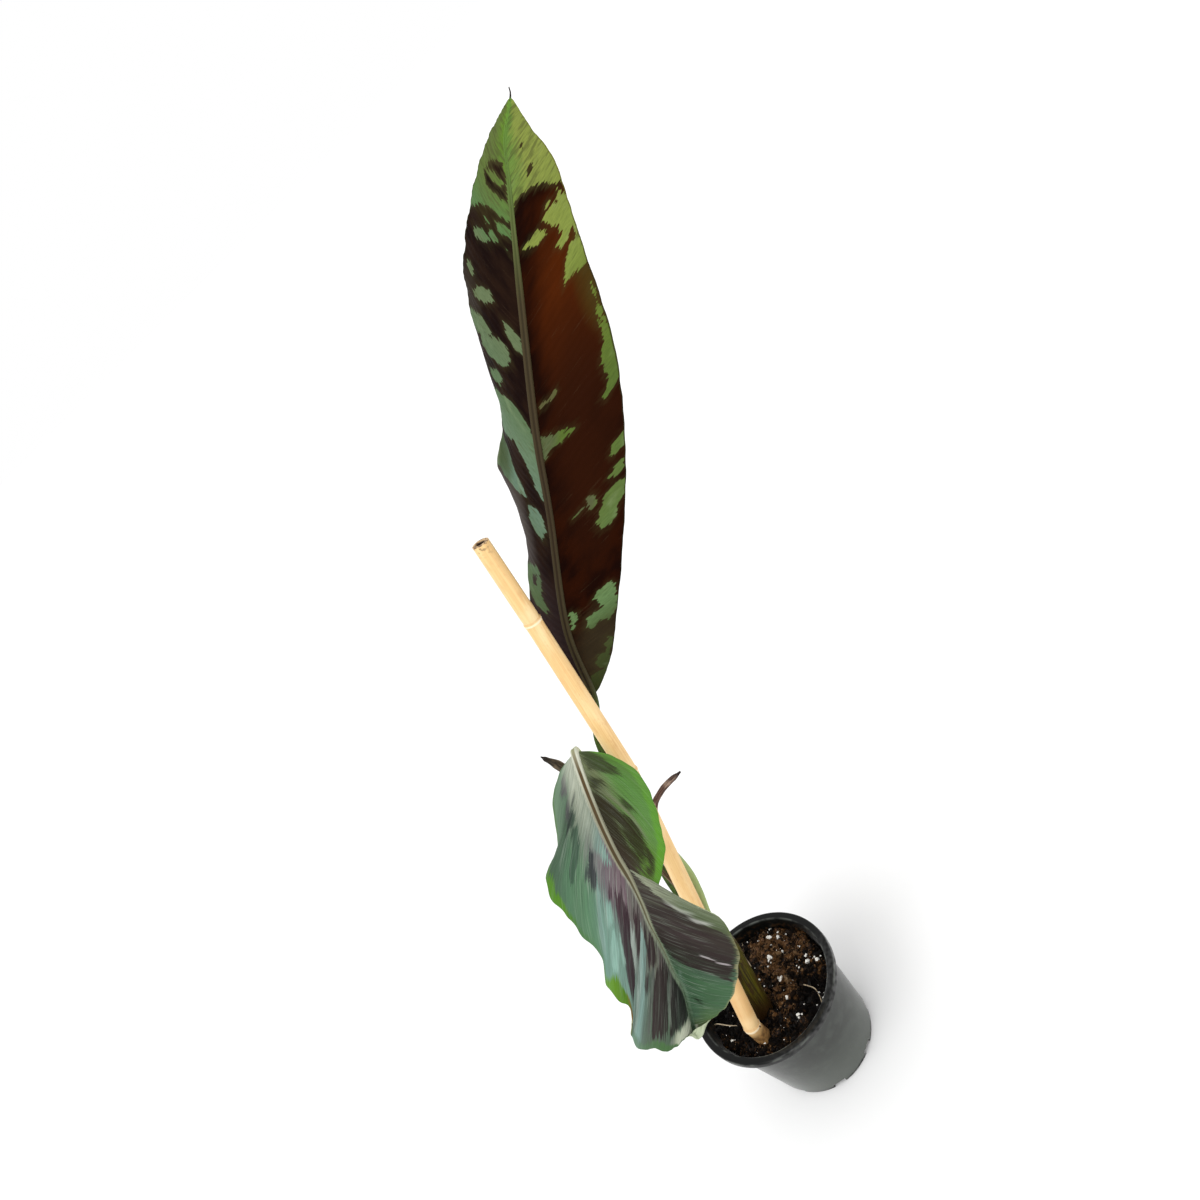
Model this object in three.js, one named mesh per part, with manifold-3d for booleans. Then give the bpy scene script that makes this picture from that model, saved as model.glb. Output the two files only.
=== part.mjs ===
// A young blood banana in a plastic nursery pot: two living leaves, the dried
// remains of two older ones, the leaf-sheath stem, a bamboo cane beside it,
// and the potting soil they stand in. Millimetres, +Z up, origin at the
// centre of the pot's base.
import * as THREE from 'three';
import { mergeVertices } from 'three/addons/utils/BufferGeometryUtils.js';
import Module from 'manifold-3d';

const wasm = await Module();
wasm.setup();

// Dimensions
const clearance = 0.3;        // left round whatever stands in something else

const potHeight = 78;
const rimRadius = 51;
const baseRadius = 38;
const potWall = 1.1;
const potFloor = 1.8;
const lipHeight = 4.6;
const lipWidth = 4.6;
const drainSlots = 8;
const drainSlotSize = [8, 9, 9];          // inwards, along the rim, up (half of it below the base)

const soilDepthBelowRim = 10;
const perliteCount = 40;
const perliteSpread = 38;
const perliteSize = [0.9, 1.8];           // radii of the smallest and the largest crumb
const rootRadius = 0.55;

const caneRadius = 5.4;
const caneBore = 2.7;
const caneBoreDepth = 14;
const caneTaper = 0.13;                   // radius lost from one knot to the next
const caneKnots = [[-24.5, -19, 16], [-24.5, -19, 79.5], [42, 12, 263], [66, 25, 368.5], [76.5, 30, 420]];

const stemFoot = [-14.5, -9, 34];
const soilStation = [-10.9, -7.5, 68];    // where the stem leaves the soil
const stemThroat = [4.9, 1.4, 129.4];
const stemRadius = 7.4;

const leafThickness = 0.8;
const ribSteps = 24;                      // points of a fine midrib from one station to the next
const stalkSteps = 4;                     // rings of a stalk from one station to the next

// Shaping
const V = (p) => new THREE.Vector3(...p);
const smooth = (x) => x * x * (3 - 2 * x);
const wobble = (seed) => () => {
  seed = (seed * 16807) % 2147483647;
  return seed / 2147483647;
};

// a closed body from its corners and faces, turned outward
function body(corners, faces) {
  let volume = 0;
  for (const [a, b, c] of faces) volume += corners[a].dot(corners[b].clone().cross(corners[c]));
  const triVerts = Uint32Array.from(faces.flatMap(([a, b, c]) => (volume > 0 ? [a, b, c] : [a, c, b])));
  const vertProperties = Float32Array.from(corners.flatMap((p) => p.toArray()));
  return new wasm.Manifold(new wasm.Mesh({ numProp: 3, vertProperties, triVerts }));
}

// a closed body from a three.js geometry
function bodyOf(geometry) {
  geometry.deleteAttribute('normal');
  geometry.deleteAttribute('uv');
  const merged = mergeVertices(geometry, 1e-4);
  return new wasm.Manifold(new wasm.Mesh({
    numProp: 3,
    vertProperties: Float32Array.from(merged.attributes.position.array),
    triVerts: Uint32Array.from(merged.index.array),
  }));
}

// a smooth run of points through the stations
function trace(stations, perSpan = 12) {
  const curve = new THREE.CatmullRomCurve3(stations.map(V), false, 'catmullrom', 0.5);
  return curve.getPoints((stations.length - 1) * perSpan);
}

// points of a run at the given shares of its length
function pick(run, shares) {
  const at = [0];
  for (let i = 1; i < run.length; i++) at.push(at[i - 1] + run[i].distanceTo(run[i - 1]));
  return shares.map((share) => {
    const want = share * at[at.length - 1];
    let i = 1;
    while (i < run.length - 1 && at[i] < want) i++;
    return run[i - 1].clone().lerp(run[i], (want - at[i - 1]) / (at[i] - at[i - 1]));
  });
}
// even shares of a length, or shares that run ahead by `lead` midway
const shares = (n, lead = 0) => Array.from({ length: n + 1 }, (_, i) => {
  const share = i / n;
  return share + lead * share * (1 - share);
});

// value between keys [share, value] along a length
function between(keys, x) {
  let i = 1;
  while (i < keys.length - 1 && keys[i][0] < x) i++;
  const u = Math.min(1, Math.max(0, (x - keys[i - 1][0]) / (keys[i][0] - keys[i - 1][0])));
  return keys[i - 1][1] + (keys[i][1] - keys[i - 1][1]) * smooth(u);
}

// a rod along a run of points; `channel` sinks its upper side, `flat` squashes it
function rod(run, radiusAt, { sides = 10, up = [0, -1, 0], channel = 0, flat = 1, crinkle = 0 } = {}) {
  const n = run.length - 1;
  const corners = [];
  const faces = [];
  let top = V(up);
  const noise = wobble(271);
  run.forEach((p, i) => {
    const along = run[Math.min(i + 1, n)].clone().sub(run[Math.max(i - 1, 0)]).normalize();
    top = top.sub(along.clone().multiplyScalar(top.dot(along))).normalize();
    const across = along.clone().cross(top);
    const r = radiusAt(i / n);
    for (let k = 0; k < sides; k++) {
      const turn = (2 * Math.PI * k) / sides;
      const dent = channel * Math.exp(-(((turn - Math.PI / 2) / 0.6) ** 2));
      const size = r * (1 - dent + crinkle * (noise() - 0.5));
      corners.push(p.clone()
        .addScaledVector(across, size * Math.cos(turn))
        .addScaledVector(top, size * flat * Math.sin(turn)));
    }
  });
  for (let i = 0; i < n; i++) {
    for (let k = 0; k < sides; k++) {
      const a = i * sides + k;
      const b = i * sides + ((k + 1) % sides);
      faces.push([a, b, b + sides], [a, b + sides, a + sides]);
    }
  }
  const ends = [corners.push(run[0].clone()) - 1, corners.push(run[n].clone()) - 1];
  for (let k = 0; k < sides; k++) {
    faces.push([ends[0], (k + 1) % sides, k]);
    faces.push([ends[1], n * sides + k, n * sides + ((k + 1) % sides)]);
  }
  return body(corners, faces);
}

// one half of a leaf blade, or one flap of it: a sheet ruled from the midrib
// to the margin, arched between them, the margin's waves dying out inward,
// the same triangles on both faces
const waveRows = 4;
function flap(midrib, margin, { rows, cols, lead = 0, arch, facing }) {
  const inner = pick(midrib, shares(rows));
  const outer = pick(margin, shares(rows, lead));
  const up = V(facing);
  const reaches = outer.map((p, i) => p.clone().sub(inner[i]));
  const grid = [];
  for (let i = 0; i <= rows; i++) {
    const along = inner[Math.min(i + 1, rows)].clone().sub(inner[Math.max(i - 1, 0)]);
    const near = Math.min(i, rows - i, waveRows);
    const reach = new THREE.Vector3();
    for (let k = i - near; k <= i + near; k++) reach.addScaledVector(reaches[k], 1 / (2 * near + 1));
    const wave = reaches[i].clone().sub(reach);
    const lift = along.cross(reach).normalize();
    if (lift.dot(up) < 0) lift.negate();
    for (let j = 0; j <= cols; j++) {
      const v = (j / cols) * 1.02 - 0.02;
      grid.push(inner[i].clone().addScaledVector(reach, v).addScaledVector(wave, v ** 3)
        .addScaledVector(lift, between(arch, i / rows) * reach.length() * 4 * v * (1 - v)));
    }
  }
  const at = (i, j) => i * (cols + 1) + j;
  const corners = [];
  for (const face of [0.5, -0.5]) {
    for (let i = 0; i <= rows; i++) {
      for (let j = 0; j <= cols; j++) {
        const along = grid[at(Math.min(i + 1, rows), j)].clone().sub(grid[at(Math.max(i - 1, 0), j)]);
        const reach = grid[at(i, Math.min(j + 1, cols))].clone().sub(grid[at(i, Math.max(j - 1, 0))]);
        const normal = along.cross(reach).normalize();
        corners.push(grid[at(i, j)].clone().addScaledVector(normal, face * leafThickness));
      }
    }
  }
  const under = grid.length;
  const faces = [];
  for (let i = 0; i < rows; i++) {
    for (let j = 0; j < cols; j++) {
      const [a, b, c, d] = [at(i, j), at(i + 1, j), at(i + 1, j + 1), at(i, j + 1)];
      faces.push([a, b, c], [a, c, d]);
      faces.push([a + under, c + under, b + under], [a + under, d + under, c + under]);
    }
  }
  const edge = [];
  for (let i = 0; i < rows; i++) edge.push([at(i + 1, 0), at(i, 0)], [at(i, cols), at(i + 1, cols)]);
  for (let j = 0; j < cols; j++) edge.push([at(0, j), at(0, j + 1)], [at(rows, j + 1), at(rows, j)]);
  for (const [a, b] of edge) faces.push([a, b, b + under], [a, b + under, a + under]);
  return body(corners, faces);
}

const group = new THREE.Group();
function add(name, solid, colour, roughness) {
  const { vertProperties, triVerts, numProp } = solid.getMesh();
  const position = new Float32Array((vertProperties.length / numProp) * 3);
  for (let i = 0; i < position.length; i++) {
    position[i] = vertProperties[Math.floor(i / 3) * numProp + (i % 3)];
  }
  const geometry = new THREE.BufferGeometry();
  geometry.setAttribute('position', new THREE.BufferAttribute(position, 3));
  geometry.setIndex(new THREE.BufferAttribute(Uint32Array.from(triVerts), 1));
  geometry.computeVertexNormals();
  const material = new THREE.MeshStandardMaterial({ color: colour, roughness, metalness: 0 });
  const mesh = new THREE.Mesh(geometry, material);
  mesh.name = name;
  group.add(mesh);
}

// Pot: thin moulded plastic, flaring upward to a lip turned outward and down, with
// drain slots through the corner between wall and base.
const neckRadius = rimRadius - lipWidth;
const wallTop = potHeight - potWall;
const wallRadius = (z) => baseRadius + (neckRadius - baseRadius) * (z / wallTop);
const potProfile = [
  [0, 0], [baseRadius - 1, 0], [baseRadius, 1], [neckRadius, wallTop], [rimRadius - potWall, wallTop],
  [rimRadius - potWall, potHeight - lipHeight], [rimRadius, potHeight - lipHeight],
  [rimRadius, potHeight - 1], [rimRadius - 0.9, potHeight], [neckRadius - 0.2, potHeight],
  [neckRadius - potWall, wallTop],
  [wallRadius(potFloor) - potWall, potFloor], [0, potFloor],
].map(([r, z]) => new THREE.Vector2(r, z));
let pot = bodyOf(new THREE.LatheGeometry(potProfile, 60).rotateX(Math.PI / 2));
for (let i = 0; i < drainSlots; i++) {
  const slot = bodyOf(new THREE.BoxGeometry(...drainSlotSize).translate(baseRadius - 1, 0, 0));
  pot = pot.subtract(slot.rotate([0, 0, (360 * (i + 0.5)) / drainSlots]));
}
add('pot', pot, 0x1b1d1e, 0.42);

// Cane: a length of bamboo, pushed straight down into the soil and bent at two of
// its knots, cut across at the top, where it is hollow.
const caneRun = [];
const caneRadii = [];
caneKnots.forEach((knot, i) => {
  const p = V(knot);
  const thin = caneRadius - caneTaper * i;
  if (i === 0 || i === caneKnots.length - 1) {
    caneRun.push(p);
    caneRadii.push(thin);
    return;
  }
  for (const [step, swell] of [[-5, 0], [-1.4, 0.1], [-0.4, 0.7], [0.7, 0.75], [1.6, -0.1], [6, 0]]) {
    const towards = V(caneKnots[step < 0 ? i - 1 : i + 1]).sub(p).normalize();
    caneRun.push(p.clone().addScaledVector(towards, Math.abs(step)));
    caneRadii.push(thin + swell);
  }
});
const caneAt = (spare) => (s) => caneRadii[Math.round(s * (caneRun.length - 1))] + spare;
const caneTop = V(caneKnots[4]);
const caneEnd = caneTop.clone().sub(V(caneKnots[3])).normalize();
const boreRun = [-caneBoreDepth, 2].map((step) => caneTop.clone().addScaledVector(caneEnd, step));
const bore = rod(boreRun, () => caneBore, { sides: 16 });
add('cane', rod(caneRun, caneAt(0), { sides: 20 }).subtract(bore), 0xd9ad6c, 0.55);

// Leaves' shapes. Stations of each leaf: the stalk from its seat in the stem to the foot of
// the blade, the midrib from there to the tip, and the margins. The tall
// leaf's halves hang back from the midrib like a low roof, its left margin
// waved. The arching one is torn along a vein on its right side and its tip
// is curled up into a small cuff.
const tall = {
  stalk: [[-0.4, 2.8, 122.1], [1.6, 3.9, 129.7], [11, 15, 183], [26, 22, 226.5], [41.5, 25.5, 277],
    [51, 26.5, 293]],
  midrib: [[60.5, 25, 307.5], [76.5, 25, 350], [112, 26.5, 401.5], [138.5, 30, 440], [178, 36, 489.5],
    [213, 44, 530], [228, 48, 546.5], [244.5, 52, 557]],
  left: [[60, 27, 308], [60, 31, 313], [59, 43, 331], [68, 51, 352], [85, 59, 367], [104, 64, 386.5],
    [114, 70, 403.5], [119.5, 74, 421], [130, 75, 428.5], [138, 76.5, 434.5], [150, 79, 448.5],
    [156, 81, 464], [163.5, 80.5, 481], [178.5, 76, 509.5], [204.5, 68, 534.5],
    [227.5, 63, 549], [243.5, 53, 557]],
  right: [[62, 24.5, 307.5], [69, 24, 309.5], [84, 20, 320], [99, 15, 337], [123, 11, 362], [151, 10, 391],
    [174, 11, 418], [192, 13, 443], [206, 22, 463], [216, 27, 483], [226, 31, 503], [237, 36, 526],
    [240.5, 44, 543], [245, 51.5, 556]],
  thread: [[248, 53, 561]],
  facing: [-0.4, -0.6, 0.7],
};
const arching = {
  stalk: [[6.2, -0.4, 121], [8.2, 0.7, 128.6], [10.5, 3, 149], [18.5, 7.5, 167], [23.5, 12, 183],
    [26, 14, 221.5], [28, 13, 262], [29.5, 10.5, 296]],
  midrib: [[29, 5, 306], [19.5, -12, 300.5], [12, -28, 296], [6, -43, 293], [1, -56, 289]],
  midribLow: [[-2.5, -66, 284.5], [-8, -76, 276.5], [-13, -83, 270], [-17, -88, 260.5], [-22, -92, 249],
    [-25.5, -95, 239], [-32.5, -97, 227], [-37.5, -98.5, 218], [-40, -101.5, 213.5], [-38.5, -103, 221.5]],
  left: [[27.5, 6, 306], [15, 7, 303.5], [1, -1, 301], [-12, -18, 294], [-31, -27, 292], [-37, -48, 287],
    [-38, -68, 284], [-40, -80, 279], [-48, -90, 271], [-49, -103, 263], [-59, -101, 251], [-59, -103, 241],
    [-51, -106, 229], [-45, -105, 226], [-39.5, -103.5, 222]],
  rightUpper: [[30.5, 4, 306], [35, -3, 304], [40, -13, 299], [41, -31, 292], [36, -44, 287], [24, -63, 281],
    [15, -71, 278], [4, -76, 275]],
  rightLower: [[9, -101, 266], [11, -110, 260], [5, -119, 251], [0, -120, 245], [-9, -119, 236],
    [-18, -115, 228], [-24, -110, 223], [-31, -106.5, 222], [-37.5, -103.5, 222]],
  facing: [-0.1, -0.5, 0.85],
};
const withered = {
  stalk: [[4.5, 4.6, 120.8], [6.5, 5.7, 128.5], [15, 17, 155.5], [23, 21, 187], [35.5, 20, 221.5],
    [48, 19, 229.5], [63.5, 18, 228.5]],
  leaf: [[1, -2.7, 122.6], [3, -1.6, 130.3], [11, 5.5, 181], [14, 11, 225], [18, 14, 271], [19, 16, 296.5],
    [15.5, 16, 314]],
};

// Tall leaf: the ribbed stalk runs on as the midrib between the halves.
const tallStations = [...tall.stalk, ...tall.midrib, ...tall.thread];
const tallRun = trace(tallStations, stalkSteps);
const tallRadii = [[0, 2.1], [0.3, 2.4], [0.52, 2.6], [0.7, 1.9], [0.93, 0.8], [0.99, 0.55], [1, 0.4]];
const tallRib = trace(tallStations, ribSteps)
  .slice(ribSteps * tall.stalk.length, ribSteps * (tallStations.length - 2) + 1);
const tallGrid = { rows: 40, cols: 6, lead: 0.55, facing: tall.facing };
add('leaf_tall', wasm.Manifold.union([
  rod(tallRun, (s) => between(tallRadii, s), { sides: 9, up: tall.facing, channel: 0.3 }),
  flap(tallRib, trace(tall.left), { ...tallGrid, arch: [[0, 0.07], [1, 0.07]] }),
  flap(tallRib, trace(tall.right), { ...tallGrid, arch: [[0, 0.03], [1, 0.03]] }),
]), 0x3a2420, 0.45);

// Arching leaf: one flap on the left, two on the right, parted by the tear.
const archStations = [...arching.stalk, ...arching.midrib, ...arching.midribLow];
const archRun = trace(archStations, stalkSteps).slice(0, -6);    // ends short of the curled tip
const archRadii = [[0, 2.1], [0.4, 2.3], [0.6, 2.2], [0.8, 1.3], [1, 0.5]];
const archFine = trace(archStations, ribSteps);
const archFoot = ribSteps * arching.stalk.length;
const archTear = archFoot + ribSteps * (arching.midrib.length - 1);
add('leaf_arching', wasm.Manifold.union([
  rod(archRun, (s) => between(archRadii, s), { sides: 9, up: [-0.2, -0.9, 0.2], channel: 0.3 }),
  flap(archFine.slice(archFoot), trace(arching.left),
    { rows: 36, cols: 6, lead: 0.9, arch: [[0, 0.05], [1, 0.05]], facing: arching.facing }),
  flap(archFine.slice(archFoot, archTear), trace(arching.rightUpper),
    { rows: 16, cols: 6, lead: 0.5, arch: [[0, 0.12], [1, 0.1]], facing: arching.facing }),
  flap(archFine.slice(archTear), trace(arching.rightLower),
    { rows: 22, cols: 6, arch: [[0, -0.04], [0.3, 0.08], [1, 0.06]], facing: [0, -0.7, 0.7] }),
]), 0x4f7a5a, 0.45);

// Withered remains: a dried stalk, and the rolled crumpled blade of another.
const witheredStalk = trace(withered.stalk, 5);
const witheredRadii = [[0, 1.5], [0.5, 1.9], [0.85, 2.1], [0.96, 1.9], [1, 1]];
const driedStalk = { sides: 8, flat: 0.8, crinkle: 0.12 };
add('withered_petiole', rod(witheredStalk, (s) => between(witheredRadii, s), driedStalk), 0x6b4a3c, 0.8);

const witheredLeaf = trace(withered.leaf, 6);
const spindleRadii = [[0, 1.3], [0.8, 1.3], [0.86, 2.1], [0.93, 2.2], [0.98, 1.2], [1, 0.5]];
const driedLeaf = { sides: 8, crinkle: 0.3 };
add('withered_leaf', rod(witheredLeaf, (s) => between(spindleRadii, s), driedLeaf), 0x3b2b20, 0.85);

// Pseudostem: the rolled leaf sheaths, tight at the foot and a little wider at the
// throat, where the four leaf stalks stand in it.
const stemStations = [stemFoot, soilStation, stemThroat];
const stemRun = pick(trace(stemStations), shares(12));
const stemRadii = [[0, 4.5], [0.35, 7.0], [0.8, stemRadius], [0.97, 7.6], [1, 7.2]];
const stemAt = (spare) => (s) => between(stemRadii, s) + spare;
let stem = rod(stemRun, stemAt(0), { sides: 22 });
const seats = [
  [tallRun.slice(0, 7), 2.15], [archRun.slice(0, 7), 2.15], [witheredStalk.slice(0, 8), 1.6],
  [witheredLeaf.slice(0, 10), 1.5],
];
for (const [run, radius] of seats) {
  const below = run[0].clone().sub(run[1]).setLength(clearance).add(run[0]);
  stem = stem.subtract(rod([below, ...run], () => radius + clearance, { sides: 12 }));
}
add('pseudostem', stem, 0x6b6a2c, 0.5);

// Soil: loose coco and bark mix, heaped a little behind the stem and hollow beside
// the cane, with crumbs of perlite and three bared roots grown fast in it.
const hills = [[22, 4, 20, 3.5], [-8, 26, 18, 1.5], [-27, 21, 13, -5], [16, -27, 11, -5], [-36, -12, 9, -2]];
const soilTop = potHeight - soilDepthBelowRim;
function soilHeight(x, y) {
  let z = soilTop;
  for (const [hx, hy, width, rise] of hills) {
    z += rise * Math.exp(-((x - hx) ** 2 + (y - hy) ** 2) / (width * width));
  }
  const lengthwise = 0.7 * Math.sin(x * 0.55 + 1.3 * Math.sin(y * 0.31));
  const crosswise = 0.6 * Math.sin(y * 0.62 + 1.1 * Math.sin(x * 0.27 + 2));
  return z + lengthwise + crosswise;
}
const soilEdge = (z) => wallRadius(z) - potWall - clearance - 0.25;
const soilRings = 12;
const soilSides = 48;
const soilCorners = [new THREE.Vector3(0, 0, soilHeight(0, 0))];
const soilFaces = [];
for (let i = 1; i <= soilRings; i++) {
  for (let k = 0; k < soilSides; k++) {
    const turn = (2 * Math.PI * (k + 0.5 * (i % 2))) / soilSides;
    const rim = soilHeight(soilEdge(soilTop) * Math.cos(turn), soilEdge(soilTop) * Math.sin(turn));
    const r = soilEdge(rim) * (i / soilRings);
    const [x, y] = [r * Math.cos(turn), r * Math.sin(turn)];
    soilCorners.push(new THREE.Vector3(x, y, soilHeight(x, y)));
  }
}
const soilFloor = potFloor + clearance;
const soilFoot = soilEdge(soilFloor);
for (let k = 0; k < soilSides; k++) {
  const turn = (2 * Math.PI * (k + 0.5 * (soilRings % 2))) / soilSides;
  soilCorners.push(new THREE.Vector3(soilFoot * Math.cos(turn), soilFoot * Math.sin(turn), soilFloor));
}
soilCorners.push(new THREE.Vector3(0, 0, soilFloor));
for (let k = 0; k < soilSides; k++) {
  const next = (k + 1) % soilSides;
  soilFaces.push([0, 1 + k, 1 + next]);
  for (let i = 0; i < soilRings; i++) {
    const a = 1 + i * soilSides;
    const b = a + soilSides;
    soilFaces.push([a + k, b + k, b + next], [a + k, b + next, a + next]);
  }
  const last = 1 + soilRings * soilSides;
  soilFaces.push([soilCorners.length - 1, last + next, last + k]);
}
const random = wobble(97);
const crumbs = [];
for (let i = 0; i < perliteCount; i++) {
  const r = perliteSpread * Math.sqrt(random());
  const turn = 2 * Math.PI * random();
  const size = perliteSize[0] + (perliteSize[1] - perliteSize[0]) * random();
  const [x, y] = [r * Math.cos(turn), r * Math.sin(turn)];
  const beside = [caneKnots[1], soilStation].every(([px, py]) => Math.hypot(x - px, y - py) > stemRadius + 3);
  if (!beside) continue;
  const crumb = bodyOf(new THREE.IcosahedronGeometry(size, 0)).rotate([360 * random(), 360 * random(), 0]);
  crumbs.push(crumb.translate([x, y, soilHeight(x, y) + 0.35 * size]));
}
const onSoil = (x, y, lift = 0.4) => [x, y, soilHeight(x, y) + lift];
const roots = [
  [onSoil(11, 39, 0.2), onSoil(7.5, 32.5, 1.2), onSoil(5, 22, 0.2)],
  [onSoil(-38, 17, 2.5), onSoil(-33, 8, 2), onSoil(-27, -1, 0)],
  [onSoil(18, -17, 0), onSoil(20, -25, 1), onSoil(16.5, -33, 0.2)],
].map((stations) => rod(trace(stations, 4), () => rootRadius, { sides: 6 }));
const soilBody = wasm.Manifold.union([body(soilCorners, soilFaces), ...crumbs, ...roots]);
const stemEnd = V(stemFoot).sub(V([0, 0, clearance]));
const stemHole = rod([stemEnd, ...stemRun.slice(1)], stemAt(clearance), { sides: 22 });
const caneFoot = caneRun[0].clone().sub(V([0, 0, clearance]));
const caneHole = rod([caneFoot, ...caneRun.slice(1)], caneAt(clearance), { sides: 20 });
add('soil', soilBody.subtract(stemHole).subtract(caneHole), 0x3f2c1f, 0.95);

export default group;
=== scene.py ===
import math

import bpy
import numpy as np
from mathutils import Matrix, Vector, noise


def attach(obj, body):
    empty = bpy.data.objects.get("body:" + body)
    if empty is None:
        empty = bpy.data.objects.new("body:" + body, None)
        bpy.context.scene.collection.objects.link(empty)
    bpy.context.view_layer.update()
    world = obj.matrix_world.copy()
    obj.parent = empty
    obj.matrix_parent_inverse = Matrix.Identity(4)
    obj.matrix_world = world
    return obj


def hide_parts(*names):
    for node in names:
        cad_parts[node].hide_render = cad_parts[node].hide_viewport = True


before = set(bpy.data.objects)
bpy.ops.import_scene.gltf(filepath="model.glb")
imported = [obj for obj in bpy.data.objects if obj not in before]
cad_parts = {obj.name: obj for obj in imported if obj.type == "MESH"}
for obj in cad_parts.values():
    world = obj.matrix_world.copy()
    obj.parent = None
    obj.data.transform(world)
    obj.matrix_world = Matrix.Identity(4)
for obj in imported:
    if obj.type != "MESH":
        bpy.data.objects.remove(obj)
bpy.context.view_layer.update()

# Pot
# A black moulded nursery pot, thin polypropylene, flared, its rim turned outward and
# down. Eight drain slots are cut through the corner between its wall and its floor.
MM = 0.001                      # every size below is in millimetres


class Signal:
    """One socket's value in a tree of nodes; sums written with it add maths nodes there."""

    def __init__(self, nodes, socket):
        self.nodes = nodes
        self.socket = socket

    def other(self, name):
        return Signal(self.nodes, self.socket.node.outputs[name])

    def maths(self, operation, first, second=0.0):
        return self.nodes.node("ShaderNodeMath", {"operation": operation}, {0: first, 1: second})

    def __add__(self, other):
        return self.maths("ADD", self, other)

    def __radd__(self, other):
        return self.maths("ADD", other, self)

    def __sub__(self, other):
        return self.maths("SUBTRACT", self, other)

    def __rsub__(self, other):
        return self.maths("SUBTRACT", other, self)

    def __mul__(self, other):
        return self.maths("MULTIPLY", self, other)

    def __rmul__(self, other):
        return self.maths("MULTIPLY", other, self)

    def __truediv__(self, other):
        return self.maths("DIVIDE", self, other)

    def __pow__(self, other):
        return self.maths("POWER", self, other)

    def __abs__(self):
        return self.maths("ABSOLUTE", self)

    def wave(self, length):
        """a smooth wave between -1 and 1 that comes round after each `length`"""
        return self.maths("COSINE", self * (2 * math.pi / length))


class Nodes:
    """A tree of nodes. node() adds any node: its type, its settings, what its sockets take."""

    def __init__(self, tree):
        self.tree = tree

    def feed(self, socket, value):
        if isinstance(value, Signal):
            self.tree.links.new(value.socket, socket)
        else:
            socket.default_value = value

    def node(self, kind, settings=None, feeds=None, out=0):
        made = self.tree.nodes.new(kind)
        for key, value in (settings or {}).items():
            if key == "stops":
                stops = made.color_ramp.elements
                stops.remove(stops[-1])
                stops[0].position, stops[0].color = value[0]
                for place, colour in value[1:]:
                    stops.new(place).color = colour
            else:
                setattr(made, key, value)
        for key, value in (feeds or {}).items():
            self.feed(made.inputs[key], value)
        return Signal(self, made.outputs[out]) if made.outputs else None


def shade(red, green, blue):
    """a colour as the eye sees it, 0 to 255, made linear"""
    linear = [((c / 255 + 0.055) / 1.055) ** 2.4 if c > 10 else c / 3295 for c in (red, green, blue)]
    return (*linear, 1.0)


class Finish(Nodes):
    """A material, with the few mixtures that the finishes here are made of."""

    def __init__(self, name, surface):
        self.material = bpy.data.materials.new(name)
        self.material.use_nodes = True
        super().__init__(self.material.node_tree)
        self.surface = self.tree.nodes["Principled BSDF"]
        self.paint(surface)

    def paint(self, surface):
        for key, value in surface.items():
            self.feed(self.surface.inputs[key], value)

    def place(self):
        """where a point lies on the object, in millimetres"""
        metres = self.node("ShaderNodeTexCoord", out="Object")
        return self.node("ShaderNodeVectorMath", {"operation": "SCALE"}, {0: metres, "Scale": 1 / MM})

    def note(self, name, out="Fac"):
        """what the mesh notes at each of its corners"""
        return self.node("ShaderNodeAttribute", {"attribute_name": name}, out=out)

    def split(self, vector):
        x = self.node("ShaderNodeSeparateXYZ", feeds={0: vector})
        return x, x.other("Y"), x.other("Z")

    def stretch(self, vector, sizes):
        return self.node("ShaderNodeVectorMath", {"operation": "DIVIDE"}, {0: vector, 1: sizes})

    def cloud(self, vector, size=1.0, detail=3.0):
        """cloudy noise from 0 to 1, its patches of the given size"""
        return self.node("ShaderNodeTexNoise", feeds={"Vector": vector, "Scale": 1 / size, "Detail": detail})

    def step(self, value, low, high):
        """0 up to low, 1 from high on, smooth between them"""
        feeds = {"Value": value, "From Min": low, "From Max": high}
        return self.node("ShaderNodeMapRange", {"interpolation_type": "SMOOTHSTEP"}, feeds)

    def combed(self, x, y, gap, length, detail=2.0):
        """cloudy noise drawn out into strands, `gap` wide in x and `length` long in y"""
        drawn_out = self.node("ShaderNodeCombineXYZ", feeds={0: x / gap, 1: y / length})
        return self.cloud(drawn_out, detail=detail)

    def mix(self, share, first, second):
        """a colour between two others; either may be given as the eye sees it"""
        first, second = (shade(*end) if isinstance(end, tuple) else end for end in (first, second))
        return self.node("ShaderNodeMix", {"data_type": "RGBA"}, {0: share, 6: first, 7: second}, 2)

    def ramp(self, value, stops, low=0.0, high=1.0):
        """a run of colours, each at its place between low and high; value goes from 0 to 1"""
        stops = [((place - low) / (high - low), shade(*colour)) for place, *colour in stops]
        return self.node("ShaderNodeValToRGB", {"stops": stops}, {0: value})

    def relief(self, height, depth):
        """bumps: height 1 stands `depth` millimetres above height 0"""
        return self.node("ShaderNodeBump", feeds={"Height": height, "Distance": depth * MM, "Strength": 1.0})


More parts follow.
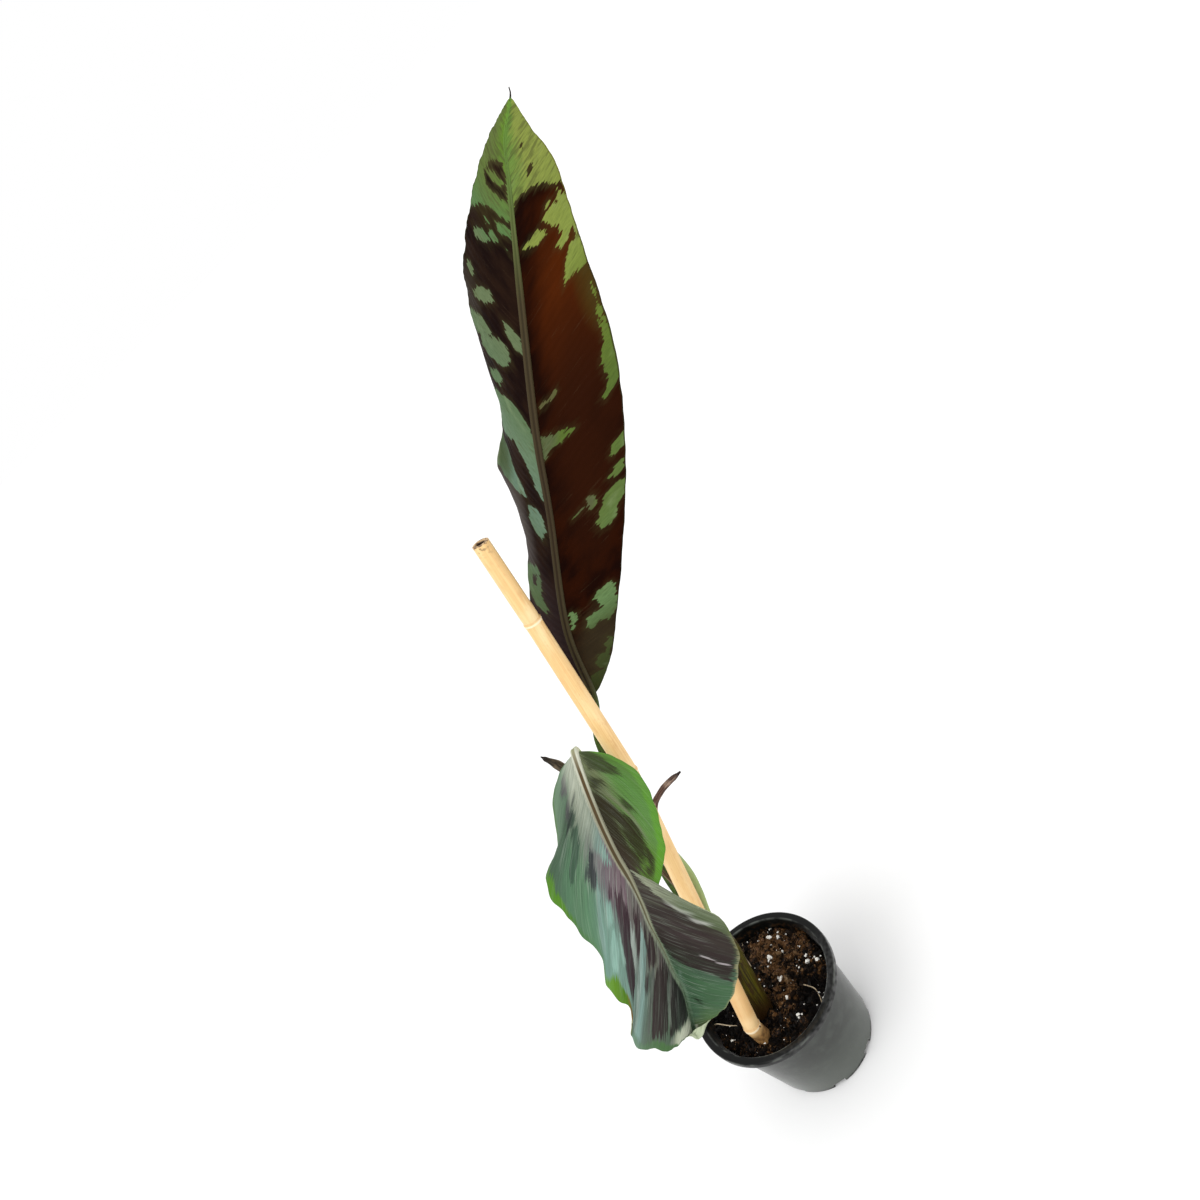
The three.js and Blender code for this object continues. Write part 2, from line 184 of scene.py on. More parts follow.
class Shape:
    """The corners and faces of one piece, in millimetres, gathered body by body."""

    def __init__(self):
        self.corners = []
        self.faces = []
        self.skins = []
        self.notes = {}
        self.count = 0

    def add(self, corners, faces, skins=0, **notes):
        """one closed body, its faces turned outward"""
        corners = np.asarray(corners, float).reshape(-1, 3)
        fans = np.array([(face[0], face[k], face[k + 1]) for face in faces for k in range(1, len(face) - 1)])
        a, b, c = (corners[fans[:, k]] for k in range(3))
        inside_out = np.einsum("ij,ij->i", a, np.cross(b, c)).sum() < 0
        order = -1 if inside_out else 1
        self.corners.append(corners)
        self.faces += [[self.count + k for k in face[::order]] for face in faces]
        self.skins += [skins] * len(faces) if isinstance(skins, int) else list(skins)
        for key, values in notes.items():
            self.notes.setdefault(key, []).append(np.asarray(values, float))
        self.count += len(corners)

    def make(self, name, *finishes, sharp=math.radians(180)):
        mesh = bpy.data.meshes.new(name)
        mesh.from_pydata((np.vstack(self.corners) * MM).tolist(), [], self.faces)
        for finish in finishes:
            mesh.materials.append(finish.material)
        mesh.polygons.foreach_set("material_index", self.skins)
        mesh.polygons.foreach_set("use_smooth", [True] * len(self.faces))
        mesh.set_sharp_from_angle(angle=sharp)
        for key, values in self.notes.items():
            values = np.concatenate(values)
            kind, field = ("FLOAT", "value") if values.ndim == 1 else ("FLOAT_VECTOR", "vector")
            note = mesh.attributes.new(key, kind, "POINT")
            note.data.foreach_set(field, values.ravel().astype(np.float32))
        made = bpy.data.objects.new(name, mesh)
        bpy.context.scene.collection.objects.link(made)
        return made


def fit(piece, slot, *nodes):
    """sets a piece on the object in place of the plain nodes it stands for"""
    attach(piece, "root")
    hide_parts(*nodes)


def rounded(outline, steps=5):
    """an outline of (x, y, size) whose corners are rounded over `size` either way"""
    points = np.array(outline, float)
    made = []
    for i, point in enumerate(points):
        corner, size = point[:2], point[2]
        if size == 0 or i in (0, len(points) - 1):
            made.append(corner)
            continue
        ends = []
        for near in (points[i - 1, :2], points[i + 1, :2]):
            reach = np.linalg.norm(near - corner)
            ends.append(corner + (near - corner) * min(size, 0.5 * reach) / reach)
        for u in np.linspace(0, 1, steps + 1):
            made.append((1 - u) ** 2 * ends[0] + 2 * u * (1 - u) * corner + u * u * ends[1])
    return np.array(made)


def lathe(outline, sides):
    """a solid turned round the upright axis from an outline that starts and ends on it"""
    turn = 2 * np.pi * np.arange(sides) / sides
    inner = outline[1:-1]
    ring = np.stack([inner[:, :1] * np.cos(turn), inner[:, :1] * np.sin(turn),
                     np.repeat(inner[:, 1:], sides, 1)], -1)
    corners = np.vstack([ring.reshape(-1, 3), [(0, 0, outline[0, 1]), (0, 0, outline[-1, 1])]])
    rings, first, last = len(inner), len(corners) - 2, len(corners) - 1
    faces = []
    for k in range(sides):
        after = (k + 1) % sides
        faces.append([first, k, after])
        faces += [[i * sides + k, (i + 1) * sides + k, (i + 1) * sides + after, i * sides + after]
                  for i in range(rings - 1)]
        faces.append([last, (rings - 1) * sides + after, (rings - 1) * sides + k])
    return corners, faces


pot_height = 78
rim_radius = 51
base_radius = 38
pot_wall = 1.1
pot_floor = 1.8
lip_height = 4.6
neck_radius = 46.4
wall_top = pot_height - pot_wall
wall_rings = (5, 7, 16, 36)     # heights of plain rings that keep the wall's shading even
collar_foot = 66                # from here up the wall stands out a little
pot_sides = 192
drain_slots = 8
slot_inward, slot_along, slot_up = 8, 9, 9      # half of slot_up lies below the base


def wall_radius(z):
    return base_radius + (neck_radius - base_radius) * z / wall_top


pot_outline = rounded([         # radius, height, how far the corner is rounded
    (0, 0.5, 0), (base_radius - 9, 0.5, 1), (base_radius - 8, 0, 0.6), (base_radius - 0.4, 0, 0.9),
    (wall_radius(2.2), 2.2, 0.8), *[(wall_radius(z), z, 0) for z in wall_rings],
    (wall_radius(collar_foot), collar_foot, 0.6), (wall_radius(collar_foot) + 0.35, collar_foot + 0.8, 0.5),
    (neck_radius + 0.1, wall_top - 1.4, 1.0), (rim_radius - pot_wall - 0.5, wall_top - 0.9, 0.9),
    (rim_radius - pot_wall, pot_height - lip_height, 0.25), (rim_radius, pot_height - lip_height, 0.3),
    (rim_radius, pot_height, 1.5), (neck_radius - 0.4, pot_height, 1.1),
    (wall_radius(collar_foot + 4) - pot_wall, collar_foot + 4, 1.0),
    (wall_radius(pot_floor) - pot_wall, pot_floor, 1.2), (0, pot_floor, 0),
])
pot_shape = Shape()
pot_shape.add(*lathe(pot_outline, pot_sides))

# black plastic: black on the rim, with painted highlights on its edges; dusty grey on the outer wall,
# with painted shade under the rim and at the foot; soiled inside above the bed
plastic = Finish("black_plastic", {
    "Specular IOR Level": 0.12, "Coat Roughness": 0.22, "Sheen Weight": 0.25, "Sheen Roughness": 0.25})
spot = plastic.place()
x, y, z = plastic.split(spot)
scuffs = plastic.cloud(plastic.stretch(spot, (1.2, 1.2, 14)), detail=5)
dust = plastic.step(plastic.cloud(spot, 9), 0.42, 0.75)
grain = plastic.cloud(spot, 0.35, 2)
splashes = plastic.cloud(spot, 2.6, 5)
radius = (x * x + y * y) ** 0.5
flare = (neck_radius - base_radius) / wall_top
outer = plastic.step(radius - z * flare, base_radius - 0.8, base_radius - 0.3)
outer = outer * (1 - plastic.step(z, collar_foot + 2, collar_foot + 7))
dust_and_shade = plastic.mix(dust * 0.4 + scuffs * 0.3, (30, 33, 29), (66, 71, 65))
# lighter grey low on the wall, darker towards the rim: painted shade under the rim
dust_and_shade = plastic.mix(0.85 - 0.85 * plastic.step(z, 0, 56), dust_and_shade, (84, 89, 83))
# near black round the foot, with its coat taken off: painted contact shade where the pot stands
foot = 1 - plastic.step(z + splashes * 3, 3.0, 5.0)
dust_and_shade = plastic.mix(foot * 0.95, dust_and_shade, (3, 3, 3))
soiled = plastic.step(splashes, 0.5, 0.6) * (1 - plastic.step(z, pot_height - 8, pot_height - 1))
soiled = soiled * (1 - plastic.step(radius, neck_radius - 1.4, neck_radius + 0.1))
black = plastic.mix(soiled * 0.8, (7, 8, 7), (58, 40, 24))
# the rim's outer and inner edges lighter grey, in patches: painted highlights
edges = plastic.step(radius, rim_radius - 0.7, rim_radius - 0.1)
edges = edges + (1 - plastic.step(abs(radius - neck_radius + 0.1), 0.2, 0.7))
edges = edges * plastic.step(z, pot_height - 2.5, pot_height - 1)
edges = edges * plastic.step(plastic.cloud(spot, 11, 4), 0.42, 0.62)
black = plastic.mix(edges * 0.5, black, (104, 108, 102))
glossy = plastic.step(x * 0.4 - y, 18, 50) * plastic.step(splashes, 0.35, 0.6)
plastic.paint({
    "Base Color": plastic.mix(outer, black, dust_and_shade),
    "Roughness": 0.3 + 0.14 * scuffs + 0.1 * outer,
    "Coat Weight": outer * 0.4 * (1 - foot) + (1 - outer) * (0.08 + glossy * 0.7),
    "Normal": plastic.relief(grain * 0.5 + scuffs * 0.5, 0.05),
})
pot = pot_shape.make("nursery_pot", plastic, sharp=math.radians(50))

cutter_shape = Shape()
slot_box = np.array([(x, y, z) for x in (-0.5, 0.5) for y in (-0.5, 0.5) for z in (-0.5, 0.5)])
slot_box = slot_box * (slot_inward, slot_along, slot_up) + (base_radius - 1, 0, 0)
box_faces = [[0, 1, 3, 2], [4, 6, 7, 5], [0, 4, 5, 1], [2, 3, 7, 6], [0, 2, 6, 4], [1, 5, 7, 3]]
for k in range(drain_slots):
    turned = Matrix.Rotation(2 * math.pi * (k + 0.5) / drain_slots, 3, "Z")
    cutter_shape.add([turned @ Vector(corner) for corner in slot_box], box_faces)
cutter = cutter_shape.make("slot_cutter", plastic)
cut = pot.modifiers.new("drain slots", "BOOLEAN")
cut.operation = "DIFFERENCE"
cut.object = cutter
cut.solver = "EXACT"


def settled(piece):
    """the piece with its modifiers worked into its mesh"""
    shown = piece.evaluated_get(bpy.context.evaluated_depsgraph_get())
    mesh = bpy.data.meshes.new_from_object(shown)
    piece.modifiers.clear()
    piece.data = mesh
    return piece


settled(pot)
bpy.data.objects.remove(cutter)
fit(pot, "pot_plastic", "pot")

# Soil bed
# Loose coco and bark mix, filling the pot to a centimetre below its rim, heaped a
# little behind the stem, with hollows where it was poured. It lies in the pot.
soil_top = 68
soil_gap = 0.55                 # left between the soil and the pot's wall
soil_floor = pot_floor + 0.3
lump_rise, lump_width = 1.5, 4.5
# hills and hollows: across, back, width, rise;
# lit and shaded places: across, back, width, painted light (below 0, painted shade)
hills = [(22, 4, 20, 3.5), (-8, 26, 18, 1.5), (-27, 21, 13, -5), (16, -27, 11, -5), (-36, -12, 9, -2),
         (-11, -7.5, 13, 2.6), (-25, -19, 10, 1.6)]
soil_light_and_shade = [(28, 16, 26, 0.7), (6, -6, 22, 0.55), (36, -8, 14, 0.3), (-30, 17, 20, -0.9),
            (15, -30, 15, -1.0), (8, 40, 11, -0.4), (-36, -14, 14, -0.35), (20, 28, 12, 0.4)]
cane_foot = np.array((-23.3, -18.4))
stem_foot = np.array((-10.9, -7.5))


def soil_height(x, y):
    z = soil_top
    for across, back, width, rise in hills:
        z = z + rise * np.exp(-((x - across) ** 2 + (y - back) ** 2) / width ** 2)
    z = z + 0.7 * np.sin(x * 0.55 + 1.3 * np.sin(y * 0.31))
    return z + 0.6 * np.sin(y * 0.62 + 1.1 * np.sin(x * 0.27 + 2))


soil_rings, soil_sides = 70, 220
bed_corners = [(0, 0, soil_height(0, 0))]
for i in range(1, soil_rings + 1):
    for k in range(soil_sides):
        turn = 2 * math.pi * k / soil_sides
        r = (wall_radius(soil_top) - pot_wall - soil_gap - 0.4) * i / soil_rings
        x, y = r * math.cos(turn), r * math.sin(turn)
        lumps = noise.fractal(Vector((x, y, 3)) / lump_width, 0.7, 2.1, 5)
        bed_corners.append((x, y, soil_height(x, y) + lump_rise * lumps))
bed_faces = [[0, 1 + k, 1 + (k + 1) % soil_sides] for k in range(soil_sides)]
for i in range(soil_rings - 1):
    for k in range(soil_sides):
        a, b = 1 + i * soil_sides + k, 1 + i * soil_sides + (k + 1) % soil_sides
        bed_faces.append([a, a + soil_sides, b + soil_sides, b])
bed_top_faces = len(bed_faces)
soil_foot = wall_radius(soil_floor) - pot_wall - soil_gap
last = 1 + (soil_rings - 1) * soil_sides
for k in range(soil_sides):
    turn = 2 * math.pi * k / soil_sides
    bed_corners.append((soil_foot * math.cos(turn), soil_foot * math.sin(turn), soil_floor))
bed_corners.append((0, 0, soil_floor))
for k in range(soil_sides):
    a, b = last + k, last + (k + 1) % soil_sides
    bed_faces.append([a, a + soil_sides, b + soil_sides, b])
    bed_faces.append([b + soil_sides, a + soil_sides, len(bed_corners) - 1])
bed_shape = Shape()
bed_shape.add(bed_corners, bed_faces)


def earth(name, deep, pale, red, gloss=0.06):
    """crumbly soil: brown on its lumps, lighter brown where light is painted on the heap, near black where
    shade is painted in the hollows, between clods and in pits
    """
    made = Finish(name, {"Specular IOR Level": gloss})
    spot = made.place()
    x, y, _ = made.split(spot)
    # painted light on the heap (above 0) and painted shade in the hollows (below 0)
    painted_light_and_shade = 0
    for across, back, width, share in soil_light_and_shade:
        off = ((x - across) ** 2 + (y - back) ** 2) / width ** 2
        painted_light_and_shade = painted_light_and_shade + share * (1 - made.step(off, 0.0, 1.0))
    lumps = made.cloud(spot, 2.4, 5)
    clods = made.cloud(spot, 8, 4)
    flecks = made.step(made.cloud(spot, 1.3, 2) + 0.07 * painted_light_and_shade, 0.6, 0.68)
    brown = made.mix(made.step(lumps + 0.14 * painted_light_and_shade, 0.48, 0.62), deep, pale)
    brown = made.mix(flecks * 0.75, brown, red)
    # lighter brown on the heap: painted light
    brown = made.mix(0.7 * painted_light_and_shade * made.step(lumps, 0.4, 0.6), brown, (80, 56, 33))
    # near black: painted shade in the hollows and between clods
    painted_shade = made.step(-0.55 * painted_light_and_shade + (clods - 0.46) * 6, 0.0, 0.45)
    # near-black spots: painted shade in pits between lumps
    shaded_pits = 1 - made.step(made.cloud(spot, 4.6, 4) + 0.08 * painted_light_and_shade, 0.42, 0.48)
    brown = made.mix(painted_shade * 0.9, brown, (9, 7, 6))
    made.paint({
        "Base Color": made.mix(shaded_pits * 0.88, brown, (7, 5, 5)),
        "Roughness": 0.72 + 0.25 * lumps,
        "Normal": made.relief(made.cloud(spot, 0.5, 5), 0.5),
    })
    return made


bed_earth = earth("soil_bed", (9, 6, 5), (34, 22, 13), (58, 36, 20))
bed = bed_shape.make("soil_bed", bed_earth)
fit(bed, "soil", "soil")

# Soil crumbs
# Crumbs and lumps of moist coco, bark chips and coco fibres lying loose on the bed. They
# keep clear of the stem, the cane and the pot's wall.


class Recipe(Nodes):
    """A tree that scatters copies of a small shape over a mesh, ending in plain faces."""

    def __init__(self, name):
        super().__init__(bpy.data.node_groups.new(name, "GeometryNodeTree"))
        self.sockets = {}

    def ask(self, name, kind="NodeSocketFloat"):
        self.sockets[name] = self.tree.interface.new_socket(name, in_out="INPUT", socket_type=kind)

    def start(self):
        self.tree.interface.new_socket("Geometry", in_out="OUTPUT", socket_type="NodeSocketGeometry")
        return self.node("NodeGroupInput")

    def run(self, name, base, values):
        """the recipe worked out on a copy of `base`, as a piece of its own"""
        made = bpy.data.objects.new(name, base.data.copy())
        bpy.context.scene.collection.objects.link(made)
        modifier = made.modifiers.new(name, "NODES")
        modifier.node_group = self.tree
        for key, value in values.items():
            modifier[self.sockets[key].identifier] = value
        return settled(made)


def scatter(name, finish, build, on_points=False):
    """a recipe for many copies of what `build` makes, each turned and sized by chance"""
    made = Recipe(name)
    made.ask("Geometry", "NodeSocketGeometry")
    for key in ("Density", "Smallest", "Largest", "Flatness", "Lift", "Tilt"):
        made.ask(key)
    made.ask("Seed", "NodeSocketInt")
    given = made.start()
    if on_points:
        points = made.node("GeometryNodeMeshToPoints", feeds={"Mesh": given.other("Geometry")})
    else:
        points = made.node("GeometryNodeDistributePointsOnFaces", feeds={
            "Mesh": given.other("Geometry"), "Density": given.other("Density"), "Seed": given.other("Seed")})

    def chance(low, high, seed):
        feeds = {2: low, 3: high, "Seed": seed}
        return made.node("FunctionNodeRandomValue", {"data_type": "FLOAT"}, feeds, 1)

    seed = given.other("Seed")
    size = chance(0.0, 1.0, seed + 1) ** 2.2
    size = given.other("Smallest") + size * (given.other("Largest") - given.other("Smallest"))
    flat = size * given.other("Flatness")
    narrow = size * chance(0.55, 1.0, seed + 2)
    scale = made.node("ShaderNodeCombineXYZ", feeds={0: size, 1: narrow, 2: flat})
    tilt = given.other("Tilt")
    turn = made.node("ShaderNodeCombineXYZ", feeds={
        0: tilt * chance(-1.0, 1.0, seed + 3), 1: tilt * chance(-1.0, 1.0, seed + 4),
        2: chance(0.0, 6.28, seed + 5)})
    copies = made.node("GeometryNodeInstanceOnPoints", feeds={
        "Points": points, "Instance": build(made), "Rotation": turn, "Scale": scale})
    lift = made.node("ShaderNodeCombineXYZ", feeds={2: given.other("Lift")})
    copies = made.node("GeometryNodeTranslateInstances", feeds={
        "Instances": copies, "Translation": lift, "Local Space": False})
    solid = made.node("GeometryNodeRealizeInstances", feeds={"Geometry": copies})
    painted = made.node("GeometryNodeSetMaterial", feeds={"Geometry": solid, "Material": finish.material})
    made.node("NodeGroupOutput", feeds={"Geometry": painted})
    return made


def roughen(made, body, scale, reach):
    """pushes a body's surface about by noise, over `reach` along each axis"""
    pushed = made.node("ShaderNodeTexNoise", feeds={"Scale": scale, "Detail": 2.0}, out="Color")
    pushed = made.node("ShaderNodeVectorMath", {"operation": "MULTIPLY_ADD"}, {
        0: pushed, 1: reach, 2: [-r / 2 for r in reach]})
    return made.node("GeometryNodeSetPosition", feeds={"Geometry": body, "Offset": pushed})


def lump(detail, rough):
    """a small rough lump of size 1"""
    def build(made):
        ball = made.node("GeometryNodeMeshIcoSphere", feeds={"Radius": 1.0, "Subdivisions": detail})
        return roughen(made, ball, 1.3, (rough,) * 3)
    return build


def splinter(made):
    """a bark chip of size 1: a short slab with slanting ends"""
    slab = made.node("GeometryNodeMeshCube", feeds={
        "Size": (2.0, 0.8, 0.5), "Vertices X": 4, "Vertices Y": 3, "Vertices Z": 2})
    return roughen(made, slab, 1.7, (0.9, 0.7, 0.6))


def strand(made):
    """a fibre of length 1: a thin bowed tube"""
    bow = made.node("GeometryNodeCurveQuadraticBezier", feeds={
        "Resolution": 7, "Start": (-0.5, 0.0, 0.0), "Middle": (0.05, 0.3, 0.22), "End": (0.5, -0.05, 0.0)})
    section = made.node("GeometryNodeCurvePrimitiveCircle", feeds={"Resolution": 4, "Radius": 0.017})
    return made.node("GeometryNodeCurveToMesh", feeds={
        "Curve": bow, "Profile Curve": section, "Fill Caps": True})


crumb_edge = wall_radius(soil_top) - pot_wall - 2.2
clear_of_cane, clear_of_stem = 6.2, 7.2
crumb_ground = Shape()
kept = []
for face in bed_faces[:bed_top_faces]:
    x, y, _ = np.mean([bed_corners[k] for k in face], axis=0)
    clear = min(math.hypot(x - cane_foot[0], y - cane_foot[1]) - clear_of_cane,
                math.hypot(x - stem_foot[0], y - stem_foot[1]) - clear_of_stem)
    if clear > 0 and math.hypot(x, y) < crumb_edge:
        kept.append(face)
crumb_ground.add(bed_corners, kept)
ground = crumb_ground.make("crumb_ground", bed_earth)

crumb_earth = earth("soil_crumbs", (15, 10, 6), (80, 54, 30), (138, 108, 78))
bark = earth("bark_chips", (28, 17, 10), (92, 62, 38), (140, 104, 74), gloss=0.25)
fibre = earth("coco_fibre", (52, 32, 17), (112, 80, 48), (150, 116, 80), gloss=0.25)
for name, finish, build, density, smallest, largest, flatness, lift, tilt, seed in (
    ("soil_crumbs", crumb_earth, lump(1, 0.9), 620000.0, 0.5, 2.3, 0.75, 0.3, 3.0, 3),
    ("soil_lumps", crumb_earth, lump(2, 1.1), 62000.0, 1.5, 3.9, 0.75, 0.3, 1.0, 8),
    ("bark_chips", bark, splinter, 56000.0, 1.1, 3.4, 0.9, 0.8, 0.7, 21),
    ("coco_fibres", fibre, strand, 52000.0, 4.0, 13.0, 0.9, 1.2, 0.35, 34),
):
    scattered = scatter(name, finish, build).run(name, ground, {
        "Density": density, "Smallest": smallest * MM, "Largest": largest * MM, "Flatness": flatness,
        "Lift": lift * MM, "Tilt": tilt, "Seed": seed})
    fit(scattered, "soil", "soil")
bpy.data.objects.remove(ground)

# Perlite and pale clods
# White crumbs of puffed volcanic glass, mixed in: larger ones in clusters where the photo
# shows them, small specks everywhere, and here and there a clod of pale clay. All lie loose.
perlite_seen = [(30, 28), (31, 19), (33, 21), (28, 24), (14, 10), (17, 12), (36, -16), (31, -11), (33, -9),
                (11, -2), (13, -13), (4, -15), (0, -31), (-33, -22), (-25, -22), (19, -35), (-38, -2),
                (8, 30), (-16, 16)]
clods_seen = [(23, 8), (26, 2), (30, 0), (14, -8), (33, 9), (20, 24), (24, -12), (-2, 24), (8, 14),
              (10, -22)]
speck_count, speck_edge, speck_clear = 70, 41, 9
draw = np.random.default_rng(5)
specks = []
while len(specks) < speck_count:
    r, turn = speck_edge * draw.random() ** 0.5, 2 * math.pi * draw.random()
    x, y = r * math.cos(turn), r * math.sin(turn)
    if min(np.hypot(*(cane_foot - (x, y))), np.hypot(*(stem_foot - (x, y)))) > speck_clear:
        specks.append((x, y))
clusters = [(x + draw.normal(0, 0.9), y + draw.normal(0, 0.9))
            for x, y in perlite_seen for _ in range(3)]
glass = Finish("perlite", {"Specular IOR Level": 0.4})
spot = glass.place()
pores = glass.cloud(spot, 0.4, 3)
glass.paint({
    "Base Color": glass.mix(glass.step(pores, 0.3, 0.45), (170, 160, 142), (252, 250, 244)),
    "Roughness": 0.5 + 0.3 * pores,
    "Normal": glass.relief(pores, 0.3),
})
clay = earth("pale_clods", (64, 46, 30), (120, 94, 66), (156, 134, 108))
for name, finish, places, smallest, largest, detail in (
    ("perlite", glass, clusters, 0.8, 2.0, 3),
    ("perlite_specks", glass, specks, 0.25, 1.0, 2),
    ("pale_clods", clay, clods_seen, 1.5, 3.0, 3),
):
    spots = bpy.data.meshes.new(name + "_places")
    spots.from_pydata([(x * MM, y * MM, (soil_height(x, y) + 1.6) * MM) for x, y in places], [], [])
    base = bpy.data.objects.new(name + "_places", spots)
    recipe = scatter(name, finish, lump(detail, 1.8), on_points=True)
    crumbs = recipe.run(name, base, {"Smallest": smallest * MM, "Largest": largest * MM, "Flatness": 0.7,
                                     "Lift": 0.0, "Tilt": 3.0, "Seed": 12})
    fit(crumbs, "soil", "soil")
    bpy.data.objects.remove(base)

# Bared roots
# Three thin pale roots of the plant, papery outside. They grow from its foot, come up out
# of the soil and dive in again, which holds them.


def unit(vectors):
    return vectors / np.maximum(np.linalg.norm(vectors, axis=-1, keepdims=True), 1e-12)


def trace(stations, per_span=12):
    """a smooth run of points through the stations"""
    p = np.array(stations, float)
    p = np.vstack([2 * p[0] - p[1], p, 2 * p[-1] - p[-2]])
    spans = len(stations) - 1
    u = np.linspace(0, spans, spans * per_span + 1)
    i = np.minimum(u.astype(int), spans - 1)
    w = (u - i)[:, None]
    a, b, c, d = p[i], p[i + 1], p[i + 2], p[i + 3]
    m, k = (c - a) / 2, (d - b) / 2
    return b + w * m + w ** 2 * (3 * (c - b) - 2 * m - k) + w ** 3 * (2 * (b - c) + m + k)


def pick(run, shares):
    """points of a run at the given shares of its length"""
    at = np.r_[0, np.cumsum(np.linalg.norm(np.diff(run, axis=0), axis=1))]
    return np.stack([np.interp(np.asarray(shares) * at[-1], at, run[:, k]) for k in range(3)], 1)


def between(keys, x):
    """the smooth value between keys (share, value) along a length"""
    k = np.array(keys, float)
    i = np.clip(np.searchsorted(k[:, 0], x), 1, len(k) - 1)
    u = np.clip((x - k[i - 1, 0]) / (k[i, 0] - k[i - 1, 0]), 0, 1)
    return k[i - 1, 1] + (k[i, 1] - k[i - 1, 1]) * u * u * (3 - 2 * u)


def add_rings(shape, run, along, height, share, sides, profile, top=(0, -1, 0)):
    """A closed body of rings on a run, each facing `along`. profile(share, turn) gives its radius
    across and its radius up, for every ring and every turn at once. Notes where each corner
    lies, in millimetres (`lay`) and by its ring's share and its turn (`place`)."""
    along = unit(along)
    upward = [np.array(top, float)]
    for step in along:
        upward.append(unit(upward[-1] - step * (upward[-1] @ step)))
    upward = np.array(upward[1:])
    across = np.cross(along, upward)
    turn = 2 * np.pi * np.arange(sides)[None] / sides
    share = share[:, None]
    wide, high = np.broadcast_arrays(*profile(share, turn), np.zeros((len(run), sides)))[:2]
    rings = run[:, None] + (wide * np.cos(turn))[..., None] * across[:, None]
    rings = rings + (high * np.sin(turn))[..., None] * upward[:, None]
    corners = np.vstack([rings.reshape(-1, 3), run[0], run[-1]])
    n, foot, tip = len(run), len(run) * sides, len(run) * sides + 1
    faces = []
    for k in range(sides):
        after = (k + 1) % sides
        faces += [[i * sides + k, i * sides + after, (i + 1) * sides + after, (i + 1) * sides + k]
                  for i in range(n - 1)]
        faces += [[foot, after, k], [tip, (n - 1) * sides + k, (n - 1) * sides + after]]
    lay = np.stack([wide * np.cos(turn), high * np.sin(turn), height[:, None] + 0 * turn], -1)
    lay = np.vstack([lay.reshape(-1, 3), (0, 0, height[0]), (0, 0, height[-1])])
    place = np.stack(np.broadcast_arrays(share, np.cos(turn), np.sin(turn)), -1)
    place = np.vstack([place.reshape(-1, 3), (0, 0, 0), (1, 0, 0)])
    shape.add(corners, faces, lay=lay, place=place)


def add_rod(shape, run, sides, profile, top=(0, -1, 0)):
    """rings that follow a run; shares go from 0 at its start to 1 at its end"""
    length = np.r_[0, np.cumsum(np.linalg.norm(np.diff(run, axis=0), axis=1))]
    add_rings(shape, run, np.gradient(run, axis=0), length, length / length[-1], sides, profile, top)


root_radius = 0.42
roots = [                       # across, back, height above the soil
    [(13, 43, -1), (11, 39, 1.4), (7.5, 32.5, 2.2), (5, 22, 1.0), (4, 18, -1)],
    [(-39, 20, 1), (-37, 16, 3), (-33, 8, 2.6), (-27, -1, 1), (-25, -4, -1)],
    [(16, -14, -1), (18, -19, 2), (20, -25, 2.6), (17, -33, 2.2), (13, -39, 0)],
]
root_shape = Shape()
for stations in roots:
    run = trace([(x, y, soil_height(x, y) + lift) for x, y, lift in stations], 10)
    add_rod(root_shape, run, 10, lambda share, turn: (root_radius * (1 - 0.35 * share),) * 2)
root_skin = Finish("bared_root", {"Specular IOR Level": 0.3})
spot = root_skin.place()
root_skin.paint({
    "Base Color": root_skin.mix(root_skin.cloud(spot, 2.5), (150, 128, 100), (206, 190, 162)),
    "Roughness": 0.6,
    "Normal": root_skin.relief(root_skin.cloud(spot, 0.5), 0.1),
})
bared = root_shape.make("bared_roots", root_skin)
fit(bared, "soil", "soil")

# Cane
# A length of bamboo pushed into the soil as a stake, bent at two of its knots, sawn
# across and hollow at the top, with bits of dry sheath frayed at its knots.
cane_radius = 5.4
cane_taper = 0.13
cane_bore = 2.7
bore_depth = 14
ring_gap = 0.7
cane_knots = np.array([(-24.5, -19, 16), (-22.8, -18.2, 84.2), (42, 12, 263), (66, 25, 368.5),
                       (76.5, 30, 420)])
# beside a knot: how far from it along the cane, how much is added to the radius
knot_swell = [(-9, 0), (-5, 0), (-2.6, 0.04), (-1.4, 0.1), (-0.7, 0.3), (0, 0.42), (0.6, 0.3), (1.0, -0.02),
              (1.6, -0.2), (2.4, -0.1), (4, 0), (8, 0)]
cane_run, cane_radii = [], []
for i in range(len(cane_knots) - 1):
    start, end = cane_knots[i], cane_knots[i + 1]
    length = np.linalg.norm(end - start)
    for step in np.arange(0, length, ring_gap):
        radius = cane_radius - cane_taper * (i + step / length)
        if i > 0:
            radius += np.interp(step, *zip(*knot_swell))
        if i < len(cane_knots) - 2:
            radius += np.interp(step - length, *zip(*knot_swell))
        cane_run.append(start + (end - start) * step / length)
        cane_radii.append(radius)
cane_run = np.array(cane_run)
bend = 3                        # rings either way over which a bend is rounded
for k in range(3):
    padded = np.pad(cane_run[:, k], bend, mode="reflect", reflect_type="odd")
    cane_run[:, k] = np.convolve(padded, np.ones(2 * bend + 1) / (2 * bend + 1), "valid")
cane_end = unit(cane_knots[-1] - cane_knots[-2])
cane_rings = len(cane_run)
bore_run = np.array([cane_knots[-1] - cane_end * depth
                     for depth in (0.0, 0.0, 0.5, 4, 9, bore_depth - 1, bore_depth)])
bore_radii = [cane_radii[-1] - 0.5, cane_bore + 0.3, cane_bore, cane_bore, cane_bore, cane_bore * 0.9, 0.4]
cane_run = np.vstack([cane_run, cane_knots[-1] - cane_end * 0.3, bore_run])
cane_radii = np.array(cane_radii + [cane_radii[-1]] + bore_radii)


